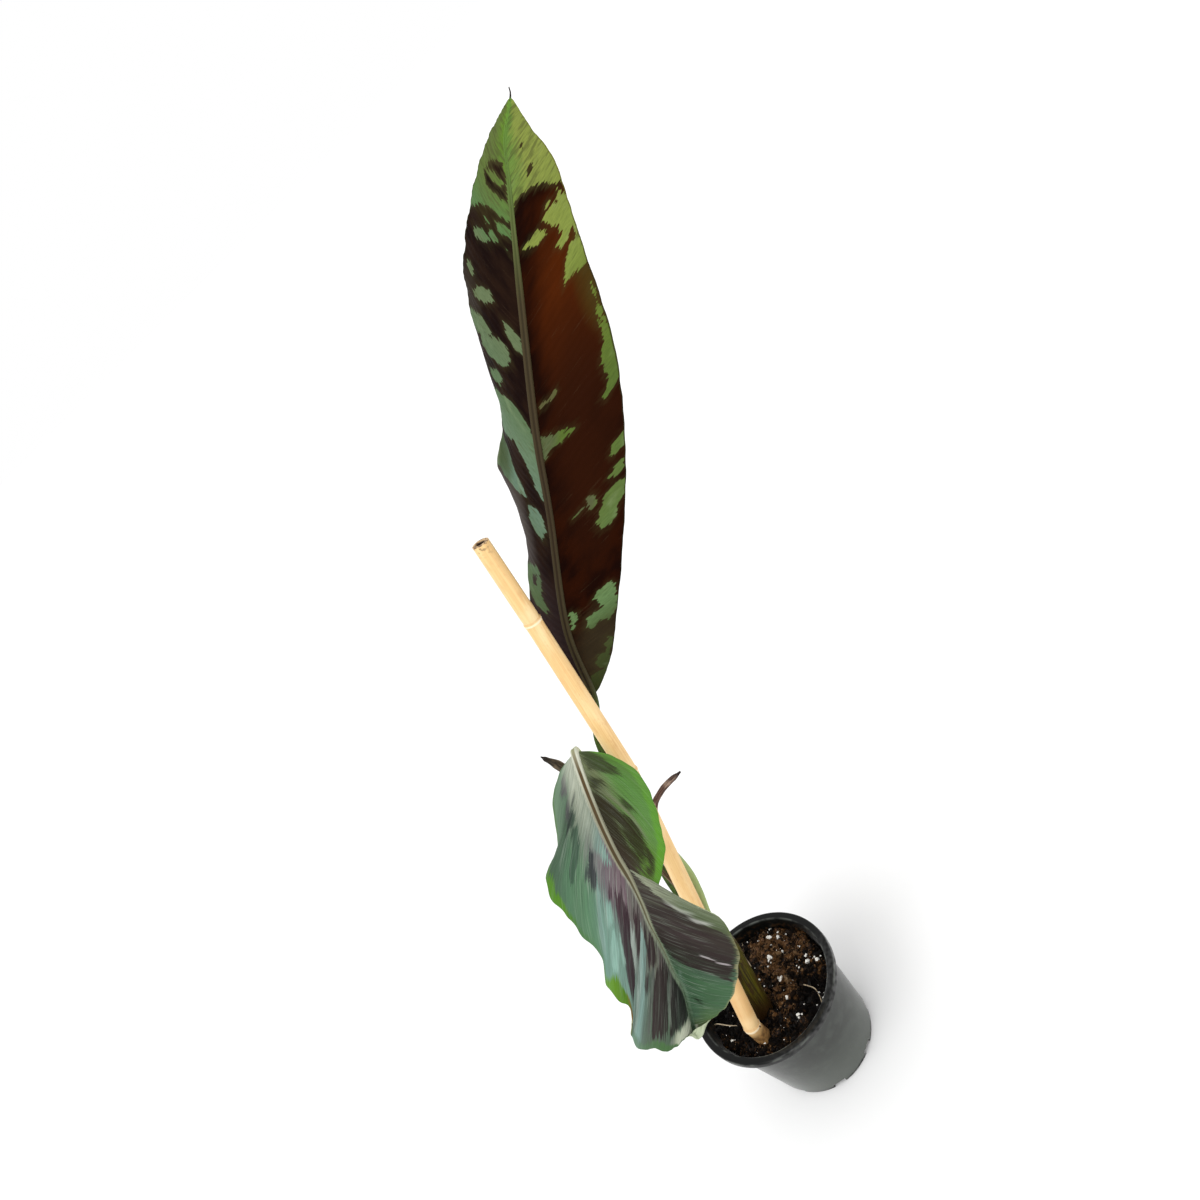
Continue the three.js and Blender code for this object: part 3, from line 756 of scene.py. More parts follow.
def cane_profile(bored, turn):
    """faintly ribbed, less so in the bore"""
    ring = np.arange(len(cane_run))[:, None]
    ribs = 0.06 * np.sin(9 * turn + 1) + 0.04 * np.sin(17 * turn + ring * 0.004)
    return (cane_radii[:, None] + ribs * (1 - 0.7 * bored),) * 2


cane_along = np.vstack([np.gradient(cane_run[:cane_rings], axis=0)]
                       + [cane_end] * (len(cane_run) - cane_rings))
in_bore = (np.arange(len(cane_run)) >= cane_rings) * 1.0
cane_shape = Shape()
add_rings(cane_shape, cane_run, cane_along, cane_run @ cane_end, in_bore, 48, cane_profile)

knot_heights = [float(knot @ cane_end) for knot in cane_knots[1:-1]]

bamboo = Finish("bamboo", {"Specular IOR Level": 0.35, "Coat Roughness": 0.35})
lay = bamboo.note("lay", "Vector")
inside, _, _ = bamboo.split(bamboo.note("place", "Vector"))
_, _, height = bamboo.split(lay)
fibres = bamboo.cloud(bamboo.stretch(lay, (0.5, 0.5, 60)), detail=4)
bands = bamboo.cloud(bamboo.stretch(lay, (6, 6, 40)), detail=2)
blush = bamboo.step(bamboo.cloud(bamboo.stretch(lay, (4, 4, 14)), detail=5), 0.54, 0.74)
straw = bamboo.mix(bamboo.step(fibres, 0.25, 0.75), (230, 184, 120), (244, 208, 146))
straw = bamboo.mix(blush * 0.4, straw, (206, 146, 88))
straw = bamboo.mix(bamboo.step(bands, 0.42, 0.7) * 0.6, straw, (252, 224, 170))
low = 1 - bamboo.step(height, knot_heights[0], knot_heights[0] + 150)
straw = bamboo.mix(low * 0.5, straw, (190, 146, 92))
speckle = bamboo.step(bamboo.cloud(bamboo.stretch(lay, (1.4, 1.4, 3)), detail=4), 0.58, 0.7)
straw = bamboo.mix(speckle * 0.22, straw, (214, 150, 96))
for knot in knot_heights:
    ring = 1 - bamboo.step(abs(height - knot - 1.2), 0.3, 0.8)
    lip = 1 - bamboo.step(abs(height - knot + 0.2), 0.3, 0.9)
    bloom = 1 - bamboo.step(abs(height - knot - 5), 1.0, 8)
    straw = bamboo.mix(bloom * 0.4, straw, (244, 218, 166))
    straw = bamboo.mix(lip * 0.7, straw, (255, 240, 208))
    straw = bamboo.mix(ring * 0.3, straw, (196, 144, 92))
foot_low, foot_high = knot_heights[0] - 7, knot_heights[0] - 1
stub = bamboo.mix(bamboo.step(bamboo.cloud(lay, 3, 4), 0.4, 0.65), (118, 86, 50), (168, 126, 76))
straw = bamboo.mix(1 - bamboo.step(height, foot_low, foot_high), straw, stub)
sawn = float(cane_knots[-1] @ cane_end)
stain = bamboo.step(height, sawn - 9, sawn - 0.5) * bamboo.step(bamboo.cloud(lay, 2.2, 4), 0.5, 0.66)
straw = bamboo.mix(stain * 0.7, straw, (110, 82, 56))
pith = bamboo.mix(bamboo.step(bamboo.cloud(lay, 1.6, 4), 0.46, 0.6), (210, 176, 130), (120, 92, 66))
# near black deeper in the bore: painted shade
bore_shade = 1 - bamboo.step(height, sawn - 1.2, sawn - 0.1)
pith = bamboo.mix(bore_shade, pith, (34, 16, 10))
bamboo.paint({
    "Base Color": bamboo.mix(inside, straw, pith),
    "Roughness": 0.42 + 0.25 * fibres,
    "Coat Weight": 0.15 * (1 - inside),
    "Normal": bamboo.relief(fibres, 0.08),
})
cane = cane_shape.make("bamboo_cane", bamboo, sharp=math.radians(45))
fit(cane, "bamboo", "cane")

fray_shape = Shape()
fray_places = [                 # which knot, turn round it, how far it stands off, length
    (2, 0.9, 3.2, 7.0), (2, 1.3, 2.0, 4.5), (2, 0.5, 2.4, 4.0), (1, 2.4, 1.6, 3.0), (3, 3.8, 2.2, 4.2)]
for knot, turn, stand, length in fray_places:
    base = cane_knots[knot]
    along = unit(cane_knots[knot + 1] - base)
    side = unit(np.cross(along, (0.3, 0.8, 0.2)))
    outward = math.cos(turn) * side + math.sin(turn) * np.cross(along, side)
    root = base + outward * (cane_radius - 0.4) + along * 0.4
    stations = [root, root + outward * stand * 0.5 - along * length * 0.1,
                root + outward * stand - along * length * 0.35]
    add_rod(fray_shape, trace(stations, 5), 8,
            lambda share, turn: (1.1 * (1 - 0.8 * share), 0.3 * (1 - 0.6 * share)), top=along)
fray = fray_shape.make("frayed_sheath", bamboo)
fit(fray, "bamboo", "cane")

# Pseudostem
# The rolled sheaths of the leaves' stalks, one round the other, fleshy and olive,
# their edges papery. It stands in the soil and holds the four stalks in its throat.
stem_stations = [(-14.5, -9, 34), (-10.9, -7.5, 68), (4.9, 1.4, 129.4)]
stem_run = pick(trace(stem_stations), np.linspace(0, 1, 120))
stem_radii = [(0, 4.5), (0.35, 6.3), (0.8, 7.0), (0.97, 7.3), (1, 6.6)]
sheaths = 3


def stem_profile(share, turn):
    radius = between(stem_radii, share)
    lap = (turn * sheaths / (2 * np.pi) + 0.35 * share) % 1
    radius = radius * (0.95 + 0.07 * lap - 0.05 * np.exp(-((lap - 1) / 0.05) ** 2))
    return (radius + 0.08 * np.sin(23 * turn),) * 2


stem_shape = Shape()
add_rod(stem_shape, stem_run, 120, stem_profile)

sheath_green = Finish("leaf_sheath", {"Specular IOR Level": 0.15})
lay = sheath_green.note("lay", "Vector")
_, _, along = sheath_green.split(lay)
streaks = sheath_green.cloud(sheath_green.stretch(lay, (0.7, 0.7, 22)), detail=5)
mottle = sheath_green.cloud(sheath_green.stretch(lay, (3, 3, 9)), detail=3)
flesh = sheath_green.mix(sheath_green.step(streaks, 0.35, 0.65), (40, 34, 3), (84, 78, 14))
flesh = sheath_green.mix(sheath_green.step(mottle, 0.45, 0.65) * 0.75, flesh, (52, 32, 12))
foot = 1 - sheath_green.step(along + 14 * mottle, 46, 66)      # brown where it leaves the soil
sheath_green.paint({
    "Base Color": sheath_green.mix(foot, flesh, (46, 29, 8)),
    "Roughness": 0.42 + 0.2 * streaks,
    "Normal": sheath_green.relief(streaks, 0.15),
})


def add_slab(shape, upper, lower, skins=(0, 0), **notes):
    """a closed thin body between two grids of points; its edges are rounded outward"""
    rows, cols = upper.shape[0] - 1, upper.shape[1] - 1
    count = (rows + 1) * (cols + 1)
    i, j = np.meshgrid(np.arange(rows), np.arange(cols), indexing="ij")
    a = (i * (cols + 1) + j).ravel()
    quads = np.stack([a, a + cols + 1, a + cols + 2, a + 1], 1)
    faces = quads.tolist() + (quads[:, ::-1] + count).tolist()
    skin_of = [skins[0]] * len(quads) + [skins[1]] * len(quads)
    loop = [k * (cols + 1) for k in range(rows)] + [rows * (cols + 1) + k for k in range(cols)]
    loop += [k * (cols + 1) + cols for k in range(rows, 0, -1)] + list(range(cols, 0, -1))
    steps = [1] * rows + [-cols - 1] * cols + [-1] * rows + [cols + 1] * cols
    inward = [k + step for k, step in zip(loop, steps)]
    top, bottom = upper.reshape(-1, 3), lower.reshape(-1, 3)
    middle = (top[loop] + bottom[loop]) / 2
    outward = unit(middle - (top[inward] + bottom[inward]) / 2)
    middle = middle + outward * np.linalg.norm(top[loop] - bottom[loop], axis=1)[:, None] * 0.45
    for k in range(len(loop)):
        after = (k + 1) % len(loop)
        faces.append([loop[after], loop[k], 2 * count + k, 2 * count + after])
        faces.append([2 * count + after, 2 * count + k, loop[k] + count, loop[after] + count])
        skin_of += [skins[0], skins[1]]
    notes = {key: np.concatenate([values, values, values[loop]]) for key, values in notes.items()}
    shape.add(np.vstack([top, bottom, middle]), faces, skin_of, **notes)


def add_collar(shape, stations, foot_radius, top_radius, turn_at):
    """a sheath's free end: a curved flap round a stalk, wide at its foot and tapering upward"""
    rows, cols, along_stem, length = 24, 24, 90, 24
    path = pick(trace(stations), np.linspace(0, 1, rows + 1))
    along = unit(np.gradient(path, axis=0))
    side = unit(np.cross(along, (0.2, -1, 0.1)))
    back = np.cross(along, side)
    share = np.linspace(0, 1, rows + 1)[:, None]
    spread = np.pi * (0.9 - 0.8 * share ** 0.8)
    turn = turn_at + spread * np.linspace(-1, 1, cols + 1)[None]
    radius = foot_radius + (top_radius - foot_radius) * between([(0, 0), (1, 1)], share)
    radius = radius + 0.6 * share * np.abs(np.linspace(-1, 1, cols + 1))[None] ** 3
    layers = [path[:, None] + ((radius + wall) * np.cos(turn))[..., None] * side[:, None]
              + ((radius + wall) * np.sin(turn))[..., None] * back[:, None] for wall in (0.0, 0.5)]
    height = along_stem + length * share + 0 * turn
    lay = np.stack([radius * np.cos(turn), radius * np.sin(turn), height], -1)
    place = np.stack(np.broadcast_arrays(share, np.cos(turn), np.sin(turn)), -1)
    add_slab(shape, layers[1], layers[0], lay=lay.reshape(-1, 3), place=place.reshape(-1, 3))


add_collar(stem_shape, [(1, -0.8, 114), (2.8, 1.2, 126), (3.2, 5.2, 136), (4.6, 8, 147)], 6.9, 2.9, 2.2)
add_collar(stem_shape, [(1.6, -0.4, 117), (5.2, 0.6, 128), (8.6, 1.9, 138), (10, 2.8, 147)], 6.9, 3.0, -0.5)
stem = stem_shape.make("rolled_sheaths", sheath_green, sharp=math.radians(40))
fit(stem, "stem", "pseudostem")

# Withered stalk and leaf
# What is left of two older leaves: a dried stalk, channelled and drooping, and a blade
# that dried rolled up on its own stalk. Both stand in the stem's throat.
dried_stations = [(4.5, 4.6, 120.8), (6.5, 5.7, 128.5), (15, 17, 155.5), (23, 21, 187), (35.5, 20, 221.5),
                  (48, 19, 229.5), (63.5, 18, 228.5)]
dried_radii = [(0, 1.5), (0.5, 1.9), (0.85, 2.1), (0.96, 1.9), (1, 0.7)]
rolled_stations = [(1, -2.7, 122.6), (3, -1.6, 130.3), (11, 5.5, 181), (14, 11, 225), (18, 14, 271),
                   (19, 16, 296.5), (15.5, 16, 314)]
rolled_radii = [(0, 1.3), (0.8, 1.3), (0.86, 2.1), (0.93, 2.2), (0.98, 1.2), (1, 0.3)]


def shrivel(radii, folds, depth, flat, seed):
    """a dried section: lengthwise folds that twist along it, a channel on top, small crinkles"""
    def profile(share, turn):
        radius = between(radii, share) + 0 * turn
        fold = 1 + depth * np.sin(folds * turn + 5 * share + seed) * np.sin(9 * share + seed + 1)
        crease = 1 + 0.06 * np.sin(11 * turn - 40 * share) + 0.05 * np.sin(60 * share + 3 * np.sin(turn * 2))
        channel = 1 - 0.4 * np.exp(-((turn - np.pi / 2) / 0.55) ** 2)
        return radius * fold * crease * channel, radius * flat * fold * crease * channel
    return profile


def dried(name, dark, tan, highlight):
    """papery dead tissue: dark between its strands, tan on them, pale in patches of painted highlight"""
    made = Finish(name, {"Specular IOR Level": 0.3})
    lay = made.note("lay", "Vector")
    share, _, _ = made.split(made.note("place", "Vector"))
    strands = made.cloud(made.stretch(lay, (0.5, 0.5, 9)), detail=5)
    blots = made.cloud(made.stretch(lay, (3, 3, 10)), detail=3)
    body = made.mix(made.step(strands, 0.35, 0.65), dark, tan)
    # pale patches: painted highlight
    body = made.mix(made.step(blots, 0.42, 0.62) * 0.75, body, highlight)
    made.paint({
        "Base Color": made.mix(made.step(share, 0.93, 0.99), body, dark),
        "Roughness": 0.6 + 0.25 * strands,
        "Normal": made.relief(strands + blots, 0.4),
    })
    return made


dried_shape = Shape()
add_rod(dried_shape, trace(dried_stations, 24), 40, shrivel(dried_radii, 2, 0.12, 0.8, 0.4))
dry_skin = dried("withered_stalk", (38, 22, 18), (116, 88, 76), (190, 164, 146))
dried_stalk = dried_shape.make("withered_stalk", dry_skin)
fit(dried_stalk, "dried_stalk", "withered_petiole")

rolled_shape = Shape()
add_rod(rolled_shape, trace(rolled_stations, 30), 48, shrivel(rolled_radii, 3, 0.28, 1.0, 2.0))
rolled_skin = dried("withered_leaf", (30, 22, 14), (86, 72, 50), (128, 110, 88))
rolled_leaf = rolled_shape.make("rolled_dead_leaf", rolled_skin)
fit(rolled_leaf, "dried_leaf", "withered_leaf")

# Tall leaf
# The upright leaf: a fleshy channelled stalk, standing in the stem's throat, that runs on as
# the midrib, and two thin half blades hung from it like a low roof, the left one waved. Dark
# wine brown, green flames along the veins, green at the tip, paler and dull underneath.
tall = {
    "stalk": [(-0.4, 2.8, 122.1), (1.6, 3.9, 129.7), (11, 15, 183), (26, 22, 226.5), (41.5, 25.5, 277),
              (51, 26.5, 293)],
    "midrib": [(60.5, 25, 307.5), (76.5, 25, 350), (112, 26.5, 401.5), (138.5, 30, 440), (178, 36, 489.5),
               (213, 44, 530), (228, 48, 546.5), (244.5, 52, 557)],
    "left": [(60, 27, 308), (60, 31, 313), (59, 43, 331), (68, 51, 352), (85, 59, 367), (104, 64, 386.5),
             (114, 70, 403.5), (119.5, 74, 421), (130, 75, 428.5), (138, 76.5, 434.5), (150, 79, 448.5),
             (156, 81, 464), (163.5, 80.5, 481), (178.5, 76, 509.5), (204.5, 68, 534.5), (227.5, 63, 549),
             (243.5, 53, 557)],
    "right": [(62, 24.5, 307.5), (69, 24, 309.5), (84, 20, 320), (99, 15, 337), (123, 11, 362),
              (151, 10, 391), (174, 11, 418), (192, 13, 443), (206, 22, 463), (216, 27, 483),
              (226, 31, 503), (237, 36, 526), (240.5, 44, 543), (245, 51.5, 556)],
    "thread": [(248, 53, 561)],
}
tall_facing = (-0.4, -0.6, 0.7)
fine_steps = 24                 # points of a midrib from one station to the next


def swell(x, y, size, seed):
    """smooth random waves about 1 high, some `size` millimetres long"""
    draw = np.random.default_rng(seed)
    total = 0
    for _ in range(8):
        turn, length, start = draw.random() * np.pi, size * (0.6 + draw.random()), draw.random() * 6.28
        total = total + np.sin((x * np.cos(turn) + y * np.sin(turn)) * 2 * np.pi / length + start)
    return total / 2.8


wave_reach = 0.1                # share of a blade's length within which its margin's waves even out
frill_length = 10


def sheet(midrib, margin, rows, cols, lead, arch, facing, frill):
    """A half blade's middle surface: ruled from midrib to margin along its veins, arched
    between them, the margin's waves dying out inward. Shares run along t and across v;
    frill is how far the margin waves in and out, in millimetres."""
    t = np.linspace(0, 1, rows + 1)
    inner = pick(midrib, t)
    reaches = pick(margin, t + lead * t * (1 - t)) - inner
    along = t * np.linalg.norm(np.diff(margin, axis=0), axis=1).sum()
    fading = np.clip(np.minimum(t * 12, (1 - t) * 3), 0, 1)
    ripple = frill * fading * swell(along, 0 * along, frill_length, 5)
    reaches = reaches * (1 + ripple / np.maximum(np.linalg.norm(reaches, axis=1), 6))[:, None]
    i = np.arange(rows + 1)
    near = np.minimum(np.minimum(i, rows - i), round(rows * wave_reach))
    total = np.vstack([np.zeros(3), np.cumsum(reaches, axis=0)])
    reach = (total[i + near + 1] - total[i - near]) / (2 * near + 1)[:, None]
    wave = reaches - reach
    lift = unit(np.cross(np.gradient(inner, axis=0), reach))
    lift[lift @ np.array(facing) < 0] *= -1
    v = np.linspace(0, 1, cols + 1) * 1.02 - 0.02
    width = np.linalg.norm(reach, axis=1)
    height = (between(arch, t) * width)[:, None] * 4 * v * (1 - v)
    grid = inner[:, None] + reach[:, None] * v[None, :, None] + wave[:, None] * (v ** 3)[None, :, None]
    return grid + lift[:, None] * height[..., None], t, v, width


vein_gap, fine_gap = 4.6, 1.15  # between the stronger side veins and between the fine ones
vein_rise, edge_rise = 0.09, 0.2
vein_drift, pucker_length, edge_length = 30, 17, 13
leaf_thick, margin_thick = 0.8, 0.4
far_out = -40.0                 # noted depth where no flame is near


class Cut(list):
    """an outline cut out of the flames before it"""


def depth_in(points, outline):
    """how far each point lies inside a closed outline; outside, the distance is negative"""
    a, b = outline, np.roll(outline, -1, axis=0)
    edge = b - a
    to = points[:, None] - a[None]
    share = np.clip((to * edge).sum(-1) / np.maximum((edge ** 2).sum(-1), 1e-9), 0, 1)
    away = np.linalg.norm(to - share[..., None] * edge, axis=-1).min(1)
    x, y = points[:, :1], points[:, 1:]
    rising = np.where(np.abs(edge[:, 1]) < 1e-9, 1e-9, edge[:, 1])
    crossed = ((a[:, 1] > y) != (b[:, 1] > y)) & (x < edge[:, 0] * (y - a[:, 1]) / rising + a[:, 0])
    return np.where(crossed.sum(1) % 2 == 1, away, -away)


def add_half(shape, surface, facing, skins, flames, streak, pull, puckers, seed):
    """One half blade as a closed thin body with raised veins; notes where each corner lies and
    how deep it is in the flames, where `pull` makes depth fade more slowly along the veins."""
    grid, t, v, width = surface
    length = np.linalg.norm(np.diff(grid[:, 0], axis=0), axis=1).sum()
    vein, across = np.broadcast_arrays(t[:, None] * length, v[None] * width[:, None])
    along, reach = np.gradient(grid, axis=0), np.gradient(grid, axis=1)
    normal = unit(np.cross(along, reach))
    if (normal @ np.array(facing)).mean() < 0:
        normal = -normal
    still = np.clip(width / 12, 0, 1)[:, None] * np.clip(v * 4, 0, 1)[None]
    drift = 0.25 * swell(vein, across, vein_drift, seed + 1)
    crest = np.cos(2 * np.pi * (vein / vein_gap + drift))
    pucker = puckers * swell(vein, across * 0.45, pucker_length, seed) * (0.4 + v[None])
    rise = still * (vein_rise * crest + pucker)
    rise = rise + still * v[None] ** 6 * edge_rise * swell(vein, 0 * across, edge_length, seed + 2)
    middle = grid + normal * rise[..., None]
    half = (leaf_thick + (margin_thick - leaf_thick) * np.clip(v, 0, 1) ** 0.7)[None, :, None] / 2
    shares = np.stack(np.broadcast_arrays(t[:, None], v[None]), -1).reshape(-1, 2)
    lay = np.stack([vein, across, vein * 0], -1).reshape(-1, 3)
    place = np.stack([shares[:, 0], shares[:, 1], streak(shares[:, 0], shares[:, 1])], -1)

    def size(points):
        reach = points[:, 1] * np.interp(points[:, 0], t, width)
        return np.stack([streak(points[:, 0], points[:, 1]) * length, reach * pull], -1)

    marks = {}
    for key, patches in flames.items():
        marks[key] = np.full(len(shares), far_out)
        for outline in patches:
            depth = depth_in(size(shares), size(np.array(outline)))
            if isinstance(outline, Cut):
                marks[key] = np.minimum(marks[key], -depth)
            else:
                marks[key] = np.maximum(marks[key], depth)
    add_slab(shape, middle + normal * half, middle - normal * half, skins, lay=lay, place=place, **marks)


# each outline's points are shares along the leaf, foot to tip, and across it, midrib to margin
left_flames = [
    [(0.732, 1.1), (0.732, 1), (0.766, 0.76), (0.792, 0.47), (0.794, 0.29), (0.808, 0.05), (0.808, -0.1),
     (1.05, -0.1), (1.05, 1.1)],
    Cut([(0.864, 0.69), (0.892, 0.17), (0.880, 0.12), (0.858, 0.08), (0.834, 0.08), (0.824, 0.34),
         (0.814, 0.66), (0.828, 0.81)]),
    [(0.836, 0.78), (0.854, 0.49), (0.860, 0.18), (0.848, 0.24), (0.836, 0.52)],
    [(0.714, 0.85), (0.736, 0.63), (0.736, 0.47), (0.722, 0.54), (0.704, 0.78)],
    [(0.760, 0.63), (0.760, 0.52), (0.752, 0.59)],
    [(0.748, 0.54), (0.754, 0.44), (0.754, 0.30), (0.744, 0.39), (0.738, 0.49)],
    [(0.776, 0.37), (0.790, 0.18), (0.792, 0.06), (0.782, 0.06), (0.770, 0.24), (0.766, 0.35)],
    [(0.752, 0.15), (0.752, 0.08), (0.752, 0.03), (0.748, 0.08)],
    [(0.646, 0.93), (0.650, 0.81), (0.640, 0.76), (0.632, 0.83), (0.634, 0.91)],
    [(0.634, 0.68), (0.650, 0.49), (0.644, 0.41), (0.622, 0.54), (0.602, 0.76), (0.610, 0.78)],
    [(0.540, 1.1), (0.586, 0.66), (0.580, 0.46), (0.560, 0.63), (0.530, 0.86), (0.530, 1.1)],
    [(0.552, 0.73), (0.584, 0.39), (0.586, 0.25), (0.570, 0.22), (0.544, 0.34), (0.528, 0.58),
     (0.520, 0.78)],
    [(0.626, 0.30), (0.630, 0.18), (0.624, 0.06), (0.600, 0.03), (0.598, 0.15), (0.608, 0.24)],
    [(0.496, 0.69), (0.522, 0.46), (0.516, 0.41), (0.496, 0.49), (0.486, 0.66)],
    [(0.480, 0.49), (0.496, 0.29), (0.492, 0.15), (0.478, 0.05), (0.454, -0.05), (0.418, -0.05),
     (0.364, 0.06), (0.372, 0.15), (0.394, 0.22), (0.408, 0.30), (0.416, 0.42), (0.384, 0.74), (0.372, 1.1),
     (0.43, 1.1)],
    [(0.360, 0.91), (0.366, 0.69), (0.350, 0.58), (0.342, 0.44), (0.332, 0.35), (0.322, 0.49),
     (0.316, 0.68), (0.314, 0.88), (0.314, 1.1), (0.39, 1.1)],
    [(0.318, 0.37), (0.330, 0.22), (0.326, 0.12), (0.308, 0.10), (0.282, 0.17), (0.282, 0.30),
     (0.294, 0.37)],
    [(0.190, 0.83), (0.218, 0.41), (0.198, 0.39), (0.168, 0.47), (0.158, 0.34), (0.144, 0.42),
     (0.142, 0.69), (0.144, 0.90), (0.150, 1.1), (0.17, 1.1)],
    Cut([(0.184, 0.71), (0.198, 0.51), (0.178, 0.58), (0.168, 0.73)]),
]
right_flames = [
    [(0.820, -0.1), (0.820, 0.03), (0.834, 0.10), (0.830, 0.29), (0.816, 0.54), (0.796, 0.74),
     (0.774, 0.86), (0.758, 1), (0.758, 1.1), (1.05, 1.1), (1.05, -0.1)],
    Cut([(0.898, 0.59), (0.888, 0.58), (0.894, 0.51)]),
    Cut([(0.854, 0.59), (0.844, 0.68), (0.836, 0.51), (0.844, 0.46)]),
    [(0.760, 0.90), (0.742, 0.93), (0.718, 1.1), (0.682, 1.1), (0.654, 0.97), (0.680, 0.95), (0.670, 0.83),
     (0.676, 0.71), (0.688, 0.66), (0.688, 0.76), (0.708, 0.76), (0.730, 0.64), (0.750, 0.52),
     (0.754, 0.64), (0.744, 0.83)],
    [(0.760, 0.74), (0.756, 0.68), (0.760, 0.63), (0.764, 0.68)],
    [(0.748, 0.42), (0.730, 0.56), (0.722, 0.56), (0.732, 0.35), (0.748, 0.18), (0.756, 0.13),
     (0.752, 0.29)],
    [(0.654, 1.1), (0.630, 1.1), (0.602, 0.97), (0.614, 0.85), (0.620, 0.74), (0.620, 0.64), (0.638, 0.68),
     (0.652, 0.76), (0.662, 0.85)],
    [(0.524, 0.90), (0.504, 0.95), (0.488, 1.1), (0.420, 1.1), (0.414, 0.91), (0.412, 0.83), (0.422, 0.76),
     (0.424, 0.85), (0.434, 0.88), (0.444, 0.86), (0.464, 0.83), (0.478, 0.86), (0.486, 0.91),
     (0.504, 0.91)],
    [(0.576, 0.95), (0.550, 0.97), (0.518, 0.98), (0.500, 1), (0.516, 0.93), (0.530, 0.91), (0.546, 0.95),
     (0.566, 0.93)],
    [(0.508, 0.29), (0.500, 0.30), (0.502, 0.18), (0.506, 0.10), (0.514, 0.08), (0.508, 0.20)],
    [(0.468, 0.03), (0.448, 0.22), (0.428, 0.42), (0.424, 0.44), (0.428, 0.27), (0.434, 0.15),
     (0.430, 0.03)],
    [(0.342, 1.1), (0.326, 1.1), (0.326, 0.86), (0.336, 0.80), (0.344, 0.83), (0.344, 0.91)],
    [(0.308, 0.98), (0.296, 0.98), (0.296, 0.91), (0.300, 0.81), (0.308, 0.76), (0.312, 0.91)],
    [(0.284, 0.95), (0.266, 1.1), (0.258, 0.91), (0.244, 0.88), (0.238, 0.80), (0.244, 0.66), (0.258, 0.59),
     (0.270, 0.61), (0.278, 0.66), (0.288, 0.73), (0.288, 0.85)],
    [(0.310, 0.52), (0.300, 0.59), (0.290, 0.59), (0.288, 0.52), (0.300, 0.46), (0.310, 0.46)],
    [(0.302, 0.44), (0.302, 0.34), (0.304, 0.27), (0.306, 0.35)],
    [(0.160, 0.76), (0.150, 0.90), (0.132, 0.97), (0.120, 1), (0.110, 0.95), (0.108, 0.83), (0.116, 0.64),
     (0.112, 0.46), (0.120, 0.41), (0.134, 0.37), (0.136, 0.51), (0.128, 0.73), (0.142, 0.64),
     (0.156, 0.52), (0.160, 0.61)],
    [(0.164, 0.10), (0.156, 0.20), (0.144, 0.20), (0.132, 0.10), (0.146, 0.08)],
    [(0.084, 0.78), (0.078, 0.95), (0.058, 0.98), (0.038, 1.1), (0.016, 1.1), (-0.02, 0.88), (-0.02, 0.01),
     (0.032, 0.05), (0.040, 0.37), (0.038, 0.73), (0.056, 0.47), (0.062, 0.61), (0.064, 0.80)],
]


def even(t, v):
    return t


tall_fine = trace(tall["stalk"] + tall["midrib"] + tall["thread"], fine_steps)
tall_rib = tall_fine[fine_steps * len(tall["stalk"]):len(tall_fine) - fine_steps]
tall_shape = Shape()
for skin, side, flames, bulge, frill, puckers, seed in (
    (0, "left", left_flames, 0.07, 0.35, 0.16, 11),
    (1, "right", right_flames, 0.03, 0.2, 0.12, 23),
):
    half = sheet(tall_rib, trace(tall[side]), rows=400, cols=40, lead=0.55, arch=[(0, bulge), (1, bulge)],
                 facing=tall_facing, frill=frill)
    add_half(tall_shape, half, tall_facing, (skin, 2), {"light": flames}, even, pull=0.6, puckers=puckers,
             seed=seed)


